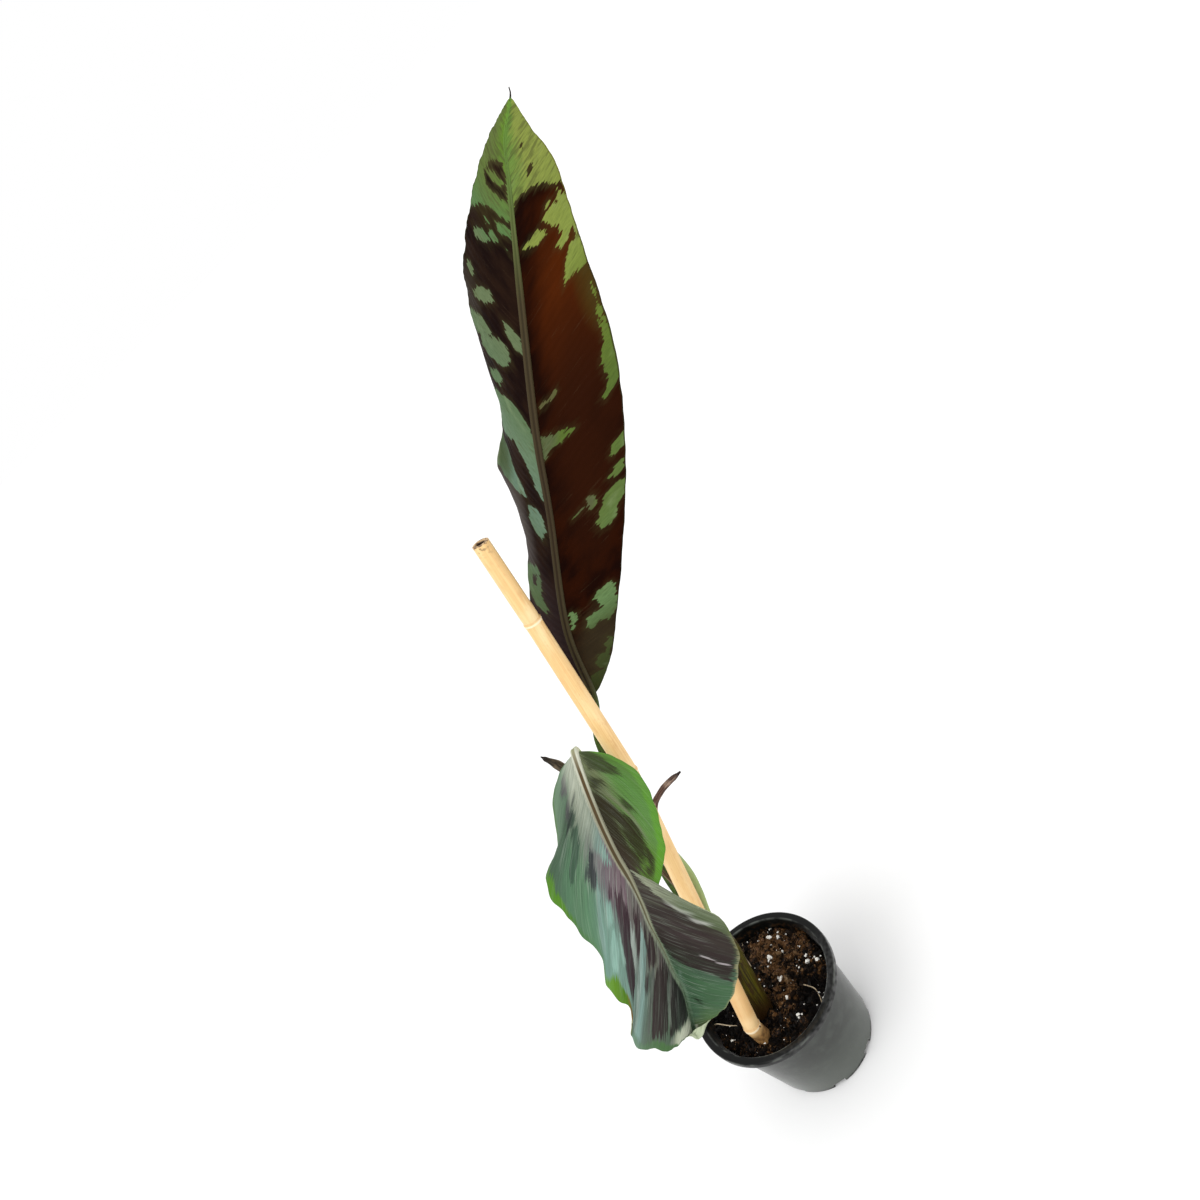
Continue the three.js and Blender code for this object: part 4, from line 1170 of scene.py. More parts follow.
def flamed(name, dark, dusky, light, warm, hem, painted_glows_and_tones, tints):
    """The upper skin of the tall leaf. Dark, cloudy along the veins, with light flames whose
    ends fray between the veins; light and hem are ramps of colours along the flames and the
    margin, warm a tint of the flames near the tip. The glow and tone patches are places in the
    dark painted as light shining through the blade and as sheen, and places of other dark
    tones; tints are places of another colour in the flames."""
    made = Finish(name, {"Specular IOR Level": 0.02})
    vein, across, _ = made.split(made.note("lay", "Vector"))
    share, reach, _ = made.split(made.note("place", "Vector"))
    mark = made.note("light")
    ragged = made.combed(vein, across, 1.6, 7, 4) - 0.5
    fine = made.combed(vein, across, 0.5, 5)
    broad = made.combed(vein, across, 12, 18, 4)
    flame = made.step(mark + ragged * 5.5 + (fine - 0.5) * 1.4, -0.15, 0.15)
    halo = made.step(mark + ragged * 7, -3.2, 0.4)
    toward_tip = made.step(share, 0.72, 0.86)

    def patched(body, patches):
        for colour, (at_share, at_reach), (long, wide) in patches:
            off = ((share - at_share) / long) ** 2 + ((reach - at_reach) / wide) ** 2
            body = made.mix((1 - made.step(off, 0.0, 1.0)) * (0.55 + 0.7 * broad), body, colour)
        return body

    # the glow and tone patches paint light shining through the blade and sheen into the dark, besides other
    # dark tones
    night = patched(made.mix(made.step(broad, 0.35, 0.65), dark, dusky), painted_glows_and_tones)
    night = made.mix(halo * (0.2 + 0.6 * toward_tip), night, (66, 62, 34))
    green = patched(made.ramp(share, light), tints)
    green = made.mix(made.step(reach + ragged, 0.15, 0.6) * toward_tip * 0.8, green, warm)
    green = made.mix(made.step(fine, 0.35, 0.7) * 0.3, green, (48, 66, 32))
    green = made.mix(made.step(broad, 0.55, 0.75) * 0.2, green, (150, 164, 124))
    worn = made.step(made.combed(vein, across, 2.5, 12, 4) + 0.12 * toward_tip, 0.58, 0.72)
    green = made.mix(worn * 0.55, green, (74, 76, 44))
    threads = made.step(made.combed(vein, across, 0.22, 60, 1), 0.69, 0.75)
    threads = threads * made.step(made.combed(vein, across, 9, 20), 0.52, 0.62)
    skin = made.mix(flame, night, green)
    skin = made.mix(threads * 0.35, skin, (118, 100, 72))
    skin = made.mix(made.step(reach + ragged * 0.02, 0.98, 0.99) * 0.75, skin, made.ramp(share, hem))
    made.paint({
        "Base Color": skin,
        "Roughness": 0.5 + 0.12 * broad + 0.05 * flame,
        "Normal": made.relief(0.6 * (vein + ragged).wave(fine_gap) + 0.5 * vein.wave(vein_gap) + fine, 0.05),
    })
    return made


def dull_under(name, flames, pale, wine, cream):
    """the lower skin: pale and dull, the upper side's dark parts showing through as wine"""
    made = Finish(name, {"Specular IOR Level": 0.15})
    vein, across, _ = made.split(made.note("lay", "Vector"))
    _, reach, _ = made.split(made.note("place", "Vector"))
    grain = made.combed(vein, across, 1.2, 16, 4)
    flame = made.step(made.note(flames) + (grain - 0.5) * 5, -1.0, 1.2)
    body = made.mix(flame, wine, pale)
    body = made.mix(made.step(grain, 0.4, 0.7) * 0.4, body, cream)
    made.paint({
        "Base Color": made.mix(made.step(reach, 0.97, 1.0) * 0.6, body, cream),
        "Roughness": 0.62 + 0.1 * grain,
        "Normal": made.relief(vein.wave(fine_gap) + grain, 0.06),
    })
    return made


# left half: greyer and more purple than the right half, its own colour with painted sheen on it
left_skin = flamed(
    "tall_left",
    dark=(20, 8, 6), dusky=(34, 20, 12),
    light=[(0.0, 54, 64, 42), (0.16, 80, 98, 66), (0.27, 92, 114, 90), (0.34, 98, 122, 104),
        (0.42, 98, 120, 94), (0.48, 88, 110, 78), (0.55, 92, 110, 80), (0.6, 98, 112, 80),
        (0.7, 96, 110, 78), (0.76, 84, 118, 72), (0.84, 92, 118, 54), (0.93, 92, 122, 44),
        (1.0, 108, 150, 48)],
    warm=(92, 104, 54),
    hem=[(0.3, 122, 130, 112), (0.42, 70, 78, 54), (0.6, 50, 52, 34), (1.0, 70, 76, 30)],
    painted_glows_and_tones=[((76, 70, 66), (0.25, 0.8), (0.13, 0.5)), ((44, 32, 32), (0.12, 0.5), (0.14, 0.9)),
        ((40, 31, 15), (0.775, 0.7), (0.045, 0.7)), ((50, 42, 34), (0.6, 0.9), (0.05, 0.3))],
    tints=[((66, 78, 50), (0.345, 0.9), (0.05, 0.34))])
right_skin = flamed(
    "tall_right",
    dark=(20, 4, 1), dusky=(38, 11, 1),
    light=[(0.0, 46, 48, 22), (0.1, 66, 76, 42), (0.14, 98, 126, 80), (0.27, 90, 110, 56),
        (0.44, 84, 104, 44), (0.56, 102, 118, 46), (0.66, 130, 144, 68), (0.76, 130, 142, 66),
        (0.86, 108, 132, 62), (0.95, 96, 130, 56), (1.0, 100, 144, 56)],
    warm=(138, 146, 70),
    hem=[(0.1, 30, 28, 16), (0.6, 54, 46, 24), (0.75, 104, 100, 44), (1.0, 104, 108, 44)],
    painted_glows_and_tones=[((74, 30, 4), (0.61, 0.75), (0.2, 0.7)), ((42, 16, 4), (0.4, 0.6), (0.25, 0.6)),
        ((66, 52, 18), (0.59, 1.06), (0.12, 0.36)), ((48, 40, 26), (0.07, 0.6), (0.09, 0.8))],
    tints=[((88, 80, 56), (0.507, 0.18), (0.02, 0.22)), ((84, 86, 60), (0.3, 0.45), (0.03, 0.2)),
        ((84, 92, 62), (0.45, 0.1), (0.04, 0.2))])
tall_under = dull_under("tall_under", "light", (116, 134, 92), (92, 52, 48), (150, 158, 120))
tall_blade = tall_shape.make("tall_blade", left_skin, right_skin, tall_under)
fit(tall_blade, "leaf_dark", "leaf_tall")


def stalk_profile(radii, channel, flat_from):
    """a stalk's section: fleshy below, channelled above between two rounded ridges, its upper
    side lower where the blade spreads from it"""
    def profile(share, turn):
        radius = between(radii, share)
        upper = np.clip(np.sin(turn), 0, 1)
        low = 1 - 0.35 * between([(flat_from - 0.03, 0), (flat_from + 0.06, 1)], share) * upper
        off = (turn - np.pi / 2)
        dent = channel * np.exp(-(off / 0.42) ** 2)
        ridge = 0.07 * np.exp(-((np.abs(off) - 0.85) / 0.3) ** 2)
        return radius * (1 + ridge + 0 * turn), radius * (low - dent + ridge)
    return profile


def ribbed(name, groove, ridge, channel, under, blotch, stalk_end, stalk_colour):
    """The skin of a stalk and midrib: darker in the channel, lighter on the ridges beside it.
    groove and ridge are ramps of colours along it; channel is how wide the dark part is."""
    made = Finish(name, {"Specular IOR Level": 0.1})
    lay = made.note("lay", "Vector")
    share, across, up = made.split(made.note("place", "Vector"))
    streaks = made.cloud(made.stretch(lay, (0.4, 0.4, 12)), detail=4)
    side = abs(across) + (streaks - 0.5) * 0.3
    beside = made.step(side, channel - 0.12, channel + 0.12)
    body = made.mix(beside, made.ramp(share, groove), made.ramp(share, ridge))
    body = made.mix(made.step(streaks, 0.45, 0.7) * 0.25, body, (44, 36, 22))
    stalk = made.mix(made.step(streaks, 0.4, 0.7) * 0.5, stalk_colour, blotch)
    spots = made.step(made.cloud(made.stretch(lay, (1.6, 1.6, 4)), detail=2), 0.54, 0.62)
    stalk = made.mix(spots * 0.8, stalk, blotch)
    body = made.mix(made.step(share, stalk_end - 0.02, stalk_end + 0.03), stalk, body)
    body = made.mix(1 - made.step(up, -0.5, -0.2), body, made.mix(streaks, under, stalk_colour))
    made.paint({
        "Base Color": made.mix(made.step(share, 0.987, 0.992), body, (26, 18, 10)),
        "Roughness": 0.45 + 0.2 * streaks,
        "Normal": made.relief(streaks, 0.12),
    })
    return made


tall_radii = [(0, 2.1), (0.32, 2.3), (0.46, 2.1), (0.58, 1.9), (0.7, 2.1), (0.8, 1.9), (0.88, 1.3),
              (0.94, 0.8), (0.985, 0.6), (1, 0.3)]
tall_rib_shape = Shape()
add_rod(tall_rib_shape, tall_fine, 36, stalk_profile(tall_radii, 0.22, 0.39), tall_facing)
tall_rib_skin = ribbed(
    "tall_midrib",
    groove=[(0.0, 50, 42, 22), (0.42, 36, 28, 18), (0.6, 44, 32, 18), (0.8, 50, 42, 24), (0.87, 72, 84, 40),
        (0.92, 84, 108, 44)],
    ridge=[(0.0, 70, 66, 38), (0.42, 62, 56, 36), (0.6, 58, 48, 31), (0.8, 66, 56, 35), (0.87, 88, 98, 54),
        (0.93, 90, 118, 54), (0.97, 98, 136, 54)],
    channel=0.26, under=(120, 132, 84), blotch=(44, 58, 26), stalk_end=0.375,
    stalk_colour=(70, 92, 40))
tall_midrib = tall_rib_shape.make("tall_midrib", tall_rib_skin)
fit(tall_midrib, "leaf_dark", "leaf_tall")

# Arching leaf
# The lower leaf, standing beside the tall one and arching over toward the viewer. Its left
# half is whole, its right half torn along one vein into two flaps, its tip curled up into a
# small cuff. Streaked along the veins in sea green, pale green, mauve and maroon.
arching = {
    "stalk": [(6.2, -0.4, 121), (8.2, 0.7, 128.6), (10.5, 3, 149), (18.5, 7.5, 167), (23.5, 12, 183),
              (26, 14, 221.5), (28, 13, 262), (29.5, 10.5, 296)],
    "midrib": [(29, 5, 306), (19.5, -12, 300.5), (12, -28, 296), (6, -43, 293), (1, -56, 289)],
    "low": [(-2.5, -66, 284.5), (-8, -76, 276.5), (-13, -83, 270), (-17, -88, 260.5), (-22, -92, 249),
            (-25.5, -95, 239), (-32.5, -97, 227), (-37.5, -98.5, 218), (-40, -101.5, 213.5),
            (-38.5, -103, 221.5)],
    "left": [(27.5, 6, 306), (15, 7, 303.5), (1, -1, 301), (-12, -18, 294), (-31, -27, 292), (-37, -48, 287),
             (-38, -68, 284), (-40, -80, 279), (-48, -90, 271), (-49, -103, 263), (-59, -101, 251),
             (-59, -103, 241), (-51, -106, 229), (-45, -105, 226), (-39.5, -103.5, 222)],
    "upper": [(30.5, 4, 306), (35, -3, 304), (40, -13, 299), (41, -31, 292), (36, -44, 287), (24, -63, 281),
              (15, -71, 278), (4, -76, 275), (1.5, -79.5, 273)],
    "lower": [(9, -101, 266), (11, -110, 260), (5, -119, 251), (0, -120, 245), (-9, -119, 236),
              (-18, -115, 228), (-24, -110, 223), (-31, -106.5, 222), (-37.5, -103.5, 222)],
}
arch_facing, low_facing = (-0.1, -0.5, 0.85), (0, -0.7, 0.7)
arch_fine = trace(arching["stalk"] + arching["midrib"] + arching["low"], fine_steps)
arch_foot = fine_steps * len(arching["stalk"])
arch_tear = arch_foot + fine_steps * (len(arching["midrib"]) - 1)
past_tear = 11                  # points by which the upper flap's foot passes the tear


def fan_left(t, v):
    return t - 0.27 * v * (1 - t)


def fan_upper(t, v):
    return t - 0.62 * v * np.minimum(1, (1 - t) * 3)


left_dark = [
    [(0.038, 0.69), (0.058, 0.52), (0.088, 0.54), (0.084, 0.69), (0.066, 0.76)],
    [(0.098, 0.52), (0.112, 0.46), (0.126, 0.47), (0.152, 0.32), (0.172, 0.34), (0.176, 0.39),
     (0.178, 0.49), (0.166, 0.56), (0.124, 0.63), (0.108, 0.59)],
    [(0.094, 0.27), (0.114, 0.27), (0.128, 0.39), (0.130, 0.44), (0.112, 0.39)],
    [(0.168, 0.46), (0.184, 0.34), (0.232, 0.39), (0.254, 0.51), (0.266, 0.66), (0.270, 0.78),
     (0.248, 0.69), (0.218, 0.52)],
    [(0.266, 0.27), (0.292, 0.29), (0.320, 0.35), (0.342, 0.42), (0.344, 0.51), (0.326, 0.52),
     (0.302, 0.44), (0.280, 0.34)],
    [(0.284, 0.41), (0.302, 0.44), (0.312, 0.52), (0.298, 0.56), (0.286, 0.47)],
    [(0.376, 0.25), (0.398, 0.29), (0.410, 0.37), (0.398, 0.44), (0.384, 0.37)],
    [(0.410, 0.29), (0.442, 0.46), (0.464, 0.59), (0.484, 0.68), (0.500, 0.78), (0.520, 0.88),
     (0.556, 0.69), (0.526, 0.54), (0.496, 0.46), (0.486, 0.34), (0.464, 0.24), (0.436, 0.22)],
    [(0.490, 0.20), (0.510, 0.29), (0.532, 0.37), (0.544, 0.44), (0.556, 0.35), (0.548, 0.25),
     (0.536, 0.17), (0.512, 0.10)],
    [(0.552, 0.07), (0.574, 0.12), (0.590, 0.25), (0.576, 0.36), (0.562, 0.22)],
    [(0.574, 0.05), (0.598, 0.04), (0.622, 0.12), (0.638, 0.20), (0.628, 0.29), (0.604, 0.35),
     (0.590, 0.27), (0.586, 0.17)],
    [(0.596, 0.42), (0.614, 0.42), (0.626, 0.52), (0.616, 0.62), (0.598, 0.54)],
    [(0.640, 0.25), (0.674, 0.08), (0.712, 0.12), (0.712, 0.30), (0.724, 0.51), (0.744, 0.78),
     (0.714, 0.88), (0.680, 0.88), (0.658, 0.68), (0.646, 0.51), (0.634, 0.39)],
    [(0.714, 0.02), (0.754, 0.0), (0.784, 0.03), (0.832, -0.02), (0.866, 0.13), (0.846, 0.51),
     (0.786, 0.76), (0.754, 0.84), (0.740, 0.54), (0.728, 0.37), (0.732, 0.20)],
]
left_pale = [
    [(0.0, 0.9), (0.0, 0.2), (0.036, 0.18), (0.098, 0.1), (0.170, 0.06), (0.248, 0.06), (0.316, 0.09),
     (0.376, 0.12), (0.336, 0.20), (0.292, 0.22), (0.252, 0.22), (0.200, 0.24), (0.170, 0.27),
     (0.132, 0.29), (0.100, 0.27), (0.110, 0.42), (0.066, 0.46), (0.026, 0.81)],
    [(0.382, 0.44), (0.404, 0.41), (0.420, 0.49), (0.422, 0.58), (0.408, 0.61), (0.390, 0.54)],
    [(0.422, 0.56), (0.440, 0.58), (0.458, 0.66), (0.468, 0.78), (0.454, 0.87), (0.434, 0.78),
     (0.426, 0.66)],
    [(0.334, 0.39), (0.360, 0.47), (0.376, 0.59), (0.400, 0.73), (0.422, 0.85), (0.400, 0.91),
     (0.380, 0.81), (0.364, 0.64), (0.346, 0.51)],
    [(0.486, 0.32), (0.510, 0.35), (0.532, 0.42), (0.550, 0.51), (0.540, 0.61), (0.518, 0.54),
     (0.498, 0.46)],
    [(0.530, 0.13), (0.560, 0.18), (0.584, 0.25), (0.590, 0.41), (0.596, 0.54), (0.620, 0.66),
     (0.638, 0.83), (0.650, 0.95), (0.61, 0.99), (0.584, 0.84), (0.562, 0.68), (0.560, 0.54), (0.558, 0.41),
     (0.552, 0.27)],
    [(0.618, 0.32), (0.636, 0.30), (0.640, 0.46), (0.650, 0.63), (0.666, 0.84), (0.642, 0.88),
     (0.624, 0.69), (0.618, 0.54), (0.608, 0.42)],
    [(0.702, 0.10), (0.722, 0.20), (0.732, 0.42), (0.752, 0.66), (0.740, 0.68), (0.718, 0.42),
     (0.702, 0.27)],
    [(0.444, 0.52), (0.466, 0.58), (0.486, 0.66), (0.482, 0.74), (0.464, 0.64)],
    [(0.756, 1.1), (0.762, 0.84), (0.808, 0.66), (0.864, 0.26), (0.904, -0.1), (1.1, -0.1), (1.1, 1.1)],
]
upper_dark = [
    [(0.020, 1.1), (0.072, 0.83), (0.156, 0.74), (0.228, 0.73), (0.276, 0.68), (0.244, 0.49), (0.208, 0.39),
     (0.184, 0.20), (0.112, 0.24), (0.0, 0.7)],
    [(0.216, 0.10), (0.276, 0.34), (0.312, 0.39), (0.344, 0.25), (0.376, 0.15), (0.324, 0.10)],
    [(0.340, 0.06), (0.400, 0.20), (0.476, 0.34), (0.556, 0.47), (0.640, 0.58), (0.708, 0.66),
     (0.692, 0.49), (0.632, 0.37), (0.588, 0.27), (0.696, 0.30), (0.788, 0.41), (0.844, 0.56),
     (0.924, 0.69), (0.904, 0.46), (0.960, 0.58), (1.1, 0.8), (1.1, -0.1), (0.808, 0.03), (0.636, 0.03),
     (0.484, 0.03)],
    [(0.768, 0.37), (0.804, 0.52), (0.856, 0.64), (0.864, 0.51)],
    [(0.712, 0.63), (0.724, 0.74), (0.768, 0.86), (0.848, 0.88), (0.916, 0.78), (0.888, 0.68),
     (0.824, 0.78), (0.780, 0.68)],
    [(0.410, 0.50), (0.448, 0.61), (0.496, 0.68), (0.508, 0.58), (0.472, 0.49)],
    [(0.52, 0.42), (0.56, 0.56), (0.62, 0.66), (0.70, 0.72), (0.78, 0.74), (0.84, 0.66), (0.80, 0.5),
     (0.7, 0.36), (0.6, 0.34)],
]
upper_pale = [
    [(0.330, 0.12), (0.392, 0.28), (0.47, 0.42), (0.55, 0.55), (0.64, 0.66), (0.69, 0.72), (0.62, 0.7),
     (0.53, 0.6), (0.45, 0.47), (0.37, 0.32)],
    [(0.0, 0.5), (0.0, -0.1), (0.4, -0.1), (0.3, 0.05), (0.2, 0.1), (0.1, 0.12)],
]
lower_dark = [
    [(0.0, 0.04), (0.060, 0.12), (0.130, 0.25), (0.166, 0.38), (0.186, 0.52), (0.198, 0.66), (0.212, 0.78),
     (0.216, 0.9), (0.250, 0.965), (0.320, 0.97), (0.424, 0.965), (0.512, 0.95), (0.498, 0.78),
     (0.478, 0.59), (0.480, 0.37), (0.476, 0.20), (0.448, 0.08), (0.392, 0.03), (0.328, -0.1), (0.0, -0.1)],
    [(0.680, 0.25), (0.684, 0.34), (0.708, 0.49), (0.724, 0.44), (0.708, 0.30)],
]
lower_pale = [
    [(0.150, 0.36), (0.166, 0.51), (0.162, 0.66), (0.186, 0.62), (0.190, 0.49), (0.174, 0.36)],
    [(0.196, 0.56), (0.192, 0.68), (0.180, 0.85), (0.212, 0.80), (0.226, 0.64), (0.214, 0.54)],
    [(0.376, 0.54), (0.380, 0.69), (0.394, 0.80), (0.398, 0.93), (0.418, 0.93), (0.414, 0.80),
     (0.402, 0.66), (0.396, 0.54)],
    [(0.484, 0.37), (0.474, 0.59), (0.486, 0.76), (0.502, 0.92), (0.512, 0.92), (0.500, 0.74),
     (0.486, 0.58)],
    [(0.488, 0.20), (0.532, 0.24), (0.640, 0.17), (0.732, 0.18), (0.804, 0.17), (0.804, -0.1),
     (0.720, -0.1), (0.636, 0.0), (0.556, 0.05)],
    [(0.82, -0.1), (0.846, 0.20), (0.876, 0.5), (0.900, 0.83), (0.92, 1.1), (1.1, 1.1), (1.1, -0.1)],
]

arch_shape = Shape()
for skin, rib, side, rows, cols, lead, arch, facing, frill, dark, pale, streak, puckers in (
    (0, arch_fine[arch_foot:], "left", 330, 40, 0.9, [(0, 0.05), (1, 0.05)], arch_facing, 0.9,
     left_dark, left_pale, fan_left, 0.2),
    (1, arch_fine[arch_foot:arch_tear + past_tear], "upper", 150, 36, 0.5,
     [(0, 0.12), (0.8, 0.1), (1, 0.02)], arch_facing, 0.4, upper_dark, upper_pale, fan_upper, 0.16),
    (2, arch_fine[arch_tear:], "lower", 190, 40, 0, [(0, -0.04), (0.3, 0.08), (1, 0.06)],
     low_facing, 0.4, lower_dark, lower_pale, even, 0.16),
):
    part = sheet(rib, trace(arching[side]), rows, cols, lead, arch, facing, frill)
    add_half(arch_shape, part, facing, (skin, 3), {"dark": dark, "pale": pale}, streak, pull=0.35,
             puckers=puckers, seed=31 + 6 * skin)


blade_reach = 170               # the arching blade's length along its margin, about
ramp_foot = -0.35               # where the ramps begin: veins that fan out at the foot reach back


def streaked(name, near, far, edges, dark, pale, beside, band, edge_from, smoke, trim=0.0, lobes=()):
    """The upper skin of the arching leaf, streaked along the veins. Six ramps of colours by
    place from foot to tip: near the midrib, near the margin, on it, the two sorts of flame and
    a band beside the midrib, `band` millimetres wide. The pale flames and the pale band are
    partly the leaf's own pale streaks and partly painted sheen and painted glossy highlights.
    smoke is how strongly dark strokes lie over it all; trim narrows the pale flames; lobes are
    places where the margin's colour reaches inward."""
    made = Finish(name, {"Specular IOR Level": 0.06})
    vein, across, _ = made.split(made.note("lay", "Vector"))
    _, reach, streak = made.split(made.note("place", "Vector"))
    vein_at = streak * blade_reach
    fine = made.combed(vein_at, across, 0.6, 14, 3)
    broad = made.combed(vein_at, across, 4, 26, 4)
    ragged = made.combed(vein_at, across, 1.1, 24, 4) - 0.5
    spread = (streak + (fine - 0.5) * 0.02 + (broad - 0.5) * 0.03 - ramp_foot) / (1 - ramp_foot)

    def coloured(stops):
        return made.ramp(spread, stops, ramp_foot)

    skin = made.mix(made.step(reach + ragged * 0.6, 0.25, 0.6), coloured(near), coloured(far))
    night = made.mix(made.step(broad, 0.42, 0.66) * 0.2, coloured(dark), skin)
    in_dark = made.step(made.note("dark") + ragged * 4.5 + (fine - 0.5) * 3, -0.2, 0.2)
    skin = made.mix(in_dark * 0.95, skin, night)
    soft = 1.6 * (1 - made.step(streak, 0.1, 0.3))
    in_pale = made.note("pale") + ragged * 3 + (fine - 0.5) * 2 - trim
    skin = made.mix(made.step(in_pale, -0.3 - soft, 0.3 + soft) * 0.9, skin, coloured(pale))
    skin = made.mix(1 - made.step(across + ragged * 3, band - 0.8, band + 0.8), skin, coloured(beside))
    edge = reach + ragged * 0.16
    for place, half, inward in lobes:
        edge = edge + inward * (1 - made.step(abs(streak - place), 0.0, half))
    skin = made.mix(made.step(edge, edge_from, edge_from + 0.05), skin, coloured(edges))
    strokes = made.step(made.combed(vein_at, across, 1.7, 12, 4), 0.54, 0.66)
    lively = 1 - 0.6 * made.step(reach + ragged * 0.4, 0.5, 0.85)
    skin = made.mix(strokes * smoke * lively, skin, night)
    skin = made.mix(made.step(fine, 0.45, 0.65) * 0.36 * lively, skin, (26, 30, 24))
    threads = made.step(made.combed(vein_at, across, 0.8, 18, 3), 0.55, 0.64) * (0.26 - 0.14 * in_dark)
    skin = made.mix(threads * lively, skin, (176, 188, 174))
    made.paint({
        "Base Color": skin,
        "Roughness": 0.42 + 0.18 * broad,
        "Normal": made.relief(0.6 * vein.wave(fine_gap) + 0.6 * vein.wave(vein_gap) + fine, 0.06),
    })
    return made


# left half: its pale flames, the pale band beside the midrib and the pale foot carry painted sheen over the
# leaf's own pale streaks
left_streaks = streaked(
    "arching_left",
    near=[(-0.35, 168, 172, 152), (0.0, 146, 152, 134), (0.1, 122, 130, 114), (0.16, 120, 130, 116),
        (0.21, 112, 118, 110), (0.26, 112, 110, 110), (0.32, 106, 94, 100), (0.38, 112, 98, 102),
        (0.42, 104, 88, 94), (0.46, 108, 106, 100), (0.5, 98, 88, 88), (0.55, 100, 100, 92),
        (0.6, 106, 110, 96), (0.64, 98, 92, 88), (0.7, 84, 82, 78), (0.78, 88, 108, 92), (0.9, 80, 106, 82)],
    far=[(-0.35, 84, 112, 88), (-0.15, 104, 128, 104), (-0.06, 88, 112, 90), (-0.01, 66, 88, 68),
        (0.05, 72, 96, 76), (0.1, 78, 112, 84), (0.15, 84, 116, 88), (0.2, 86, 122, 92),
        (0.24, 90, 124, 100), (0.28, 108, 140, 126), (0.33, 110, 142, 128), (0.38, 106, 134, 122),
        (0.42, 102, 130, 116), (0.46, 124, 146, 136), (0.5, 98, 116, 106), (0.54, 104, 128, 116),
        (0.58, 86, 100, 86), (0.65, 84, 98, 84), (0.7, 76, 94, 76), (0.8, 78, 94, 78), (1.0, 70, 98, 70)],
    edges=[(-0.35, 92, 120, 88), (-0.04, 88, 118, 74), (0.0, 80, 126, 38), (0.1, 78, 122, 38),
        (0.14, 74, 112, 66), (0.25, 90, 124, 94), (0.29, 98, 140, 60), (0.33, 88, 128, 36),
        (0.37, 74, 112, 30), (0.395, 116, 82, 38), (0.43, 104, 84, 46), (0.46, 90, 100, 60),
        (0.5, 110, 138, 120), (0.58, 88, 114, 86), (0.66, 72, 104, 64), (1.0, 78, 110, 70)],
    dark=[(-0.35, 88, 84, 90), (-0.02, 80, 78, 80), (0.04, 44, 54, 48), (0.1, 58, 80, 64),
        (0.17, 60, 84, 68), (0.21, 50, 54, 56), (0.26, 54, 54, 58), (0.33, 76, 58, 66), (0.38, 58, 38, 46),
        (0.42, 50, 32, 40), (0.48, 58, 42, 46), (0.54, 60, 56, 54), (0.58, 54, 36, 42), (0.62, 54, 44, 44),
        (0.68, 44, 38, 36), (0.74, 30, 28, 28), (1.0, 34, 34, 32)],
    pale=[(-0.35, 196, 200, 184), (0.05, 174, 180, 162), (0.2, 140, 150, 134), (0.26, 118, 144, 134),
        (0.34, 134, 170, 156), (0.4, 126, 154, 142), (0.44, 160, 170, 162), (0.48, 150, 164, 154),
        (0.53, 134, 164, 156), (0.57, 86, 100, 88), (0.62, 96, 92, 92), (0.68, 92, 102, 92),
        (0.72, 110, 118, 106), (0.745, 170, 178, 154), (0.78, 190, 196, 174), (1.0, 204, 206, 186)],
    beside=[(-0.35, 208, 212, 196), (0.1, 196, 200, 182), (0.2, 178, 180, 162), (0.35, 162, 160, 144),
        (0.5, 150, 152, 134), (0.6, 142, 150, 128), (0.75, 124, 142, 118), (1.0, 94, 120, 94)],
    band=3.0, edge_from=0.93, lobes=[(0.345, 0.06, 0.1), (0.03, 0.06, 0.05), (0.66, 0.12, 0.05)],
    smoke=0.42)
upper_streaks = streaked(
    "arching_upper",
    near=[(-0.35, 84, 90, 60), (0.0, 104, 112, 78), (0.2, 88, 98, 64), (0.36, 68, 74, 45),
        (0.5, 58, 60, 36), (0.8, 60, 54, 38), (1.0, 64, 52, 46)],
    far=[(-0.35, 80, 116, 50), (-0.1, 86, 130, 62), (0.15, 88, 128, 62), (0.35, 86, 122, 52),
        (0.6, 82, 116, 44), (1.0, 74, 98, 44)],
    edges=[(-0.35, 90, 138, 54), (0.1, 90, 146, 46), (0.5, 86, 138, 40), (1.0, 82, 120, 44)],
    dark=[(-0.35, 56, 62, 38), (0.05, 50, 54, 32), (0.18, 38, 38, 20), (0.3, 40, 32, 18), (0.6, 42, 38, 22),
        (0.85, 54, 44, 34), (1.0, 60, 48, 44)],
    pale=[(-0.35, 112, 120, 92), (0.2, 108, 116, 86), (1.0, 88, 96, 70)],
    beside=[(-0.35, 176, 178, 156), (0.0, 150, 152, 126), (0.2, 130, 130, 104), (1.0, 112, 106, 88)],
    band=1.6, edge_from=0.86, trim=0.2, smoke=0.62)
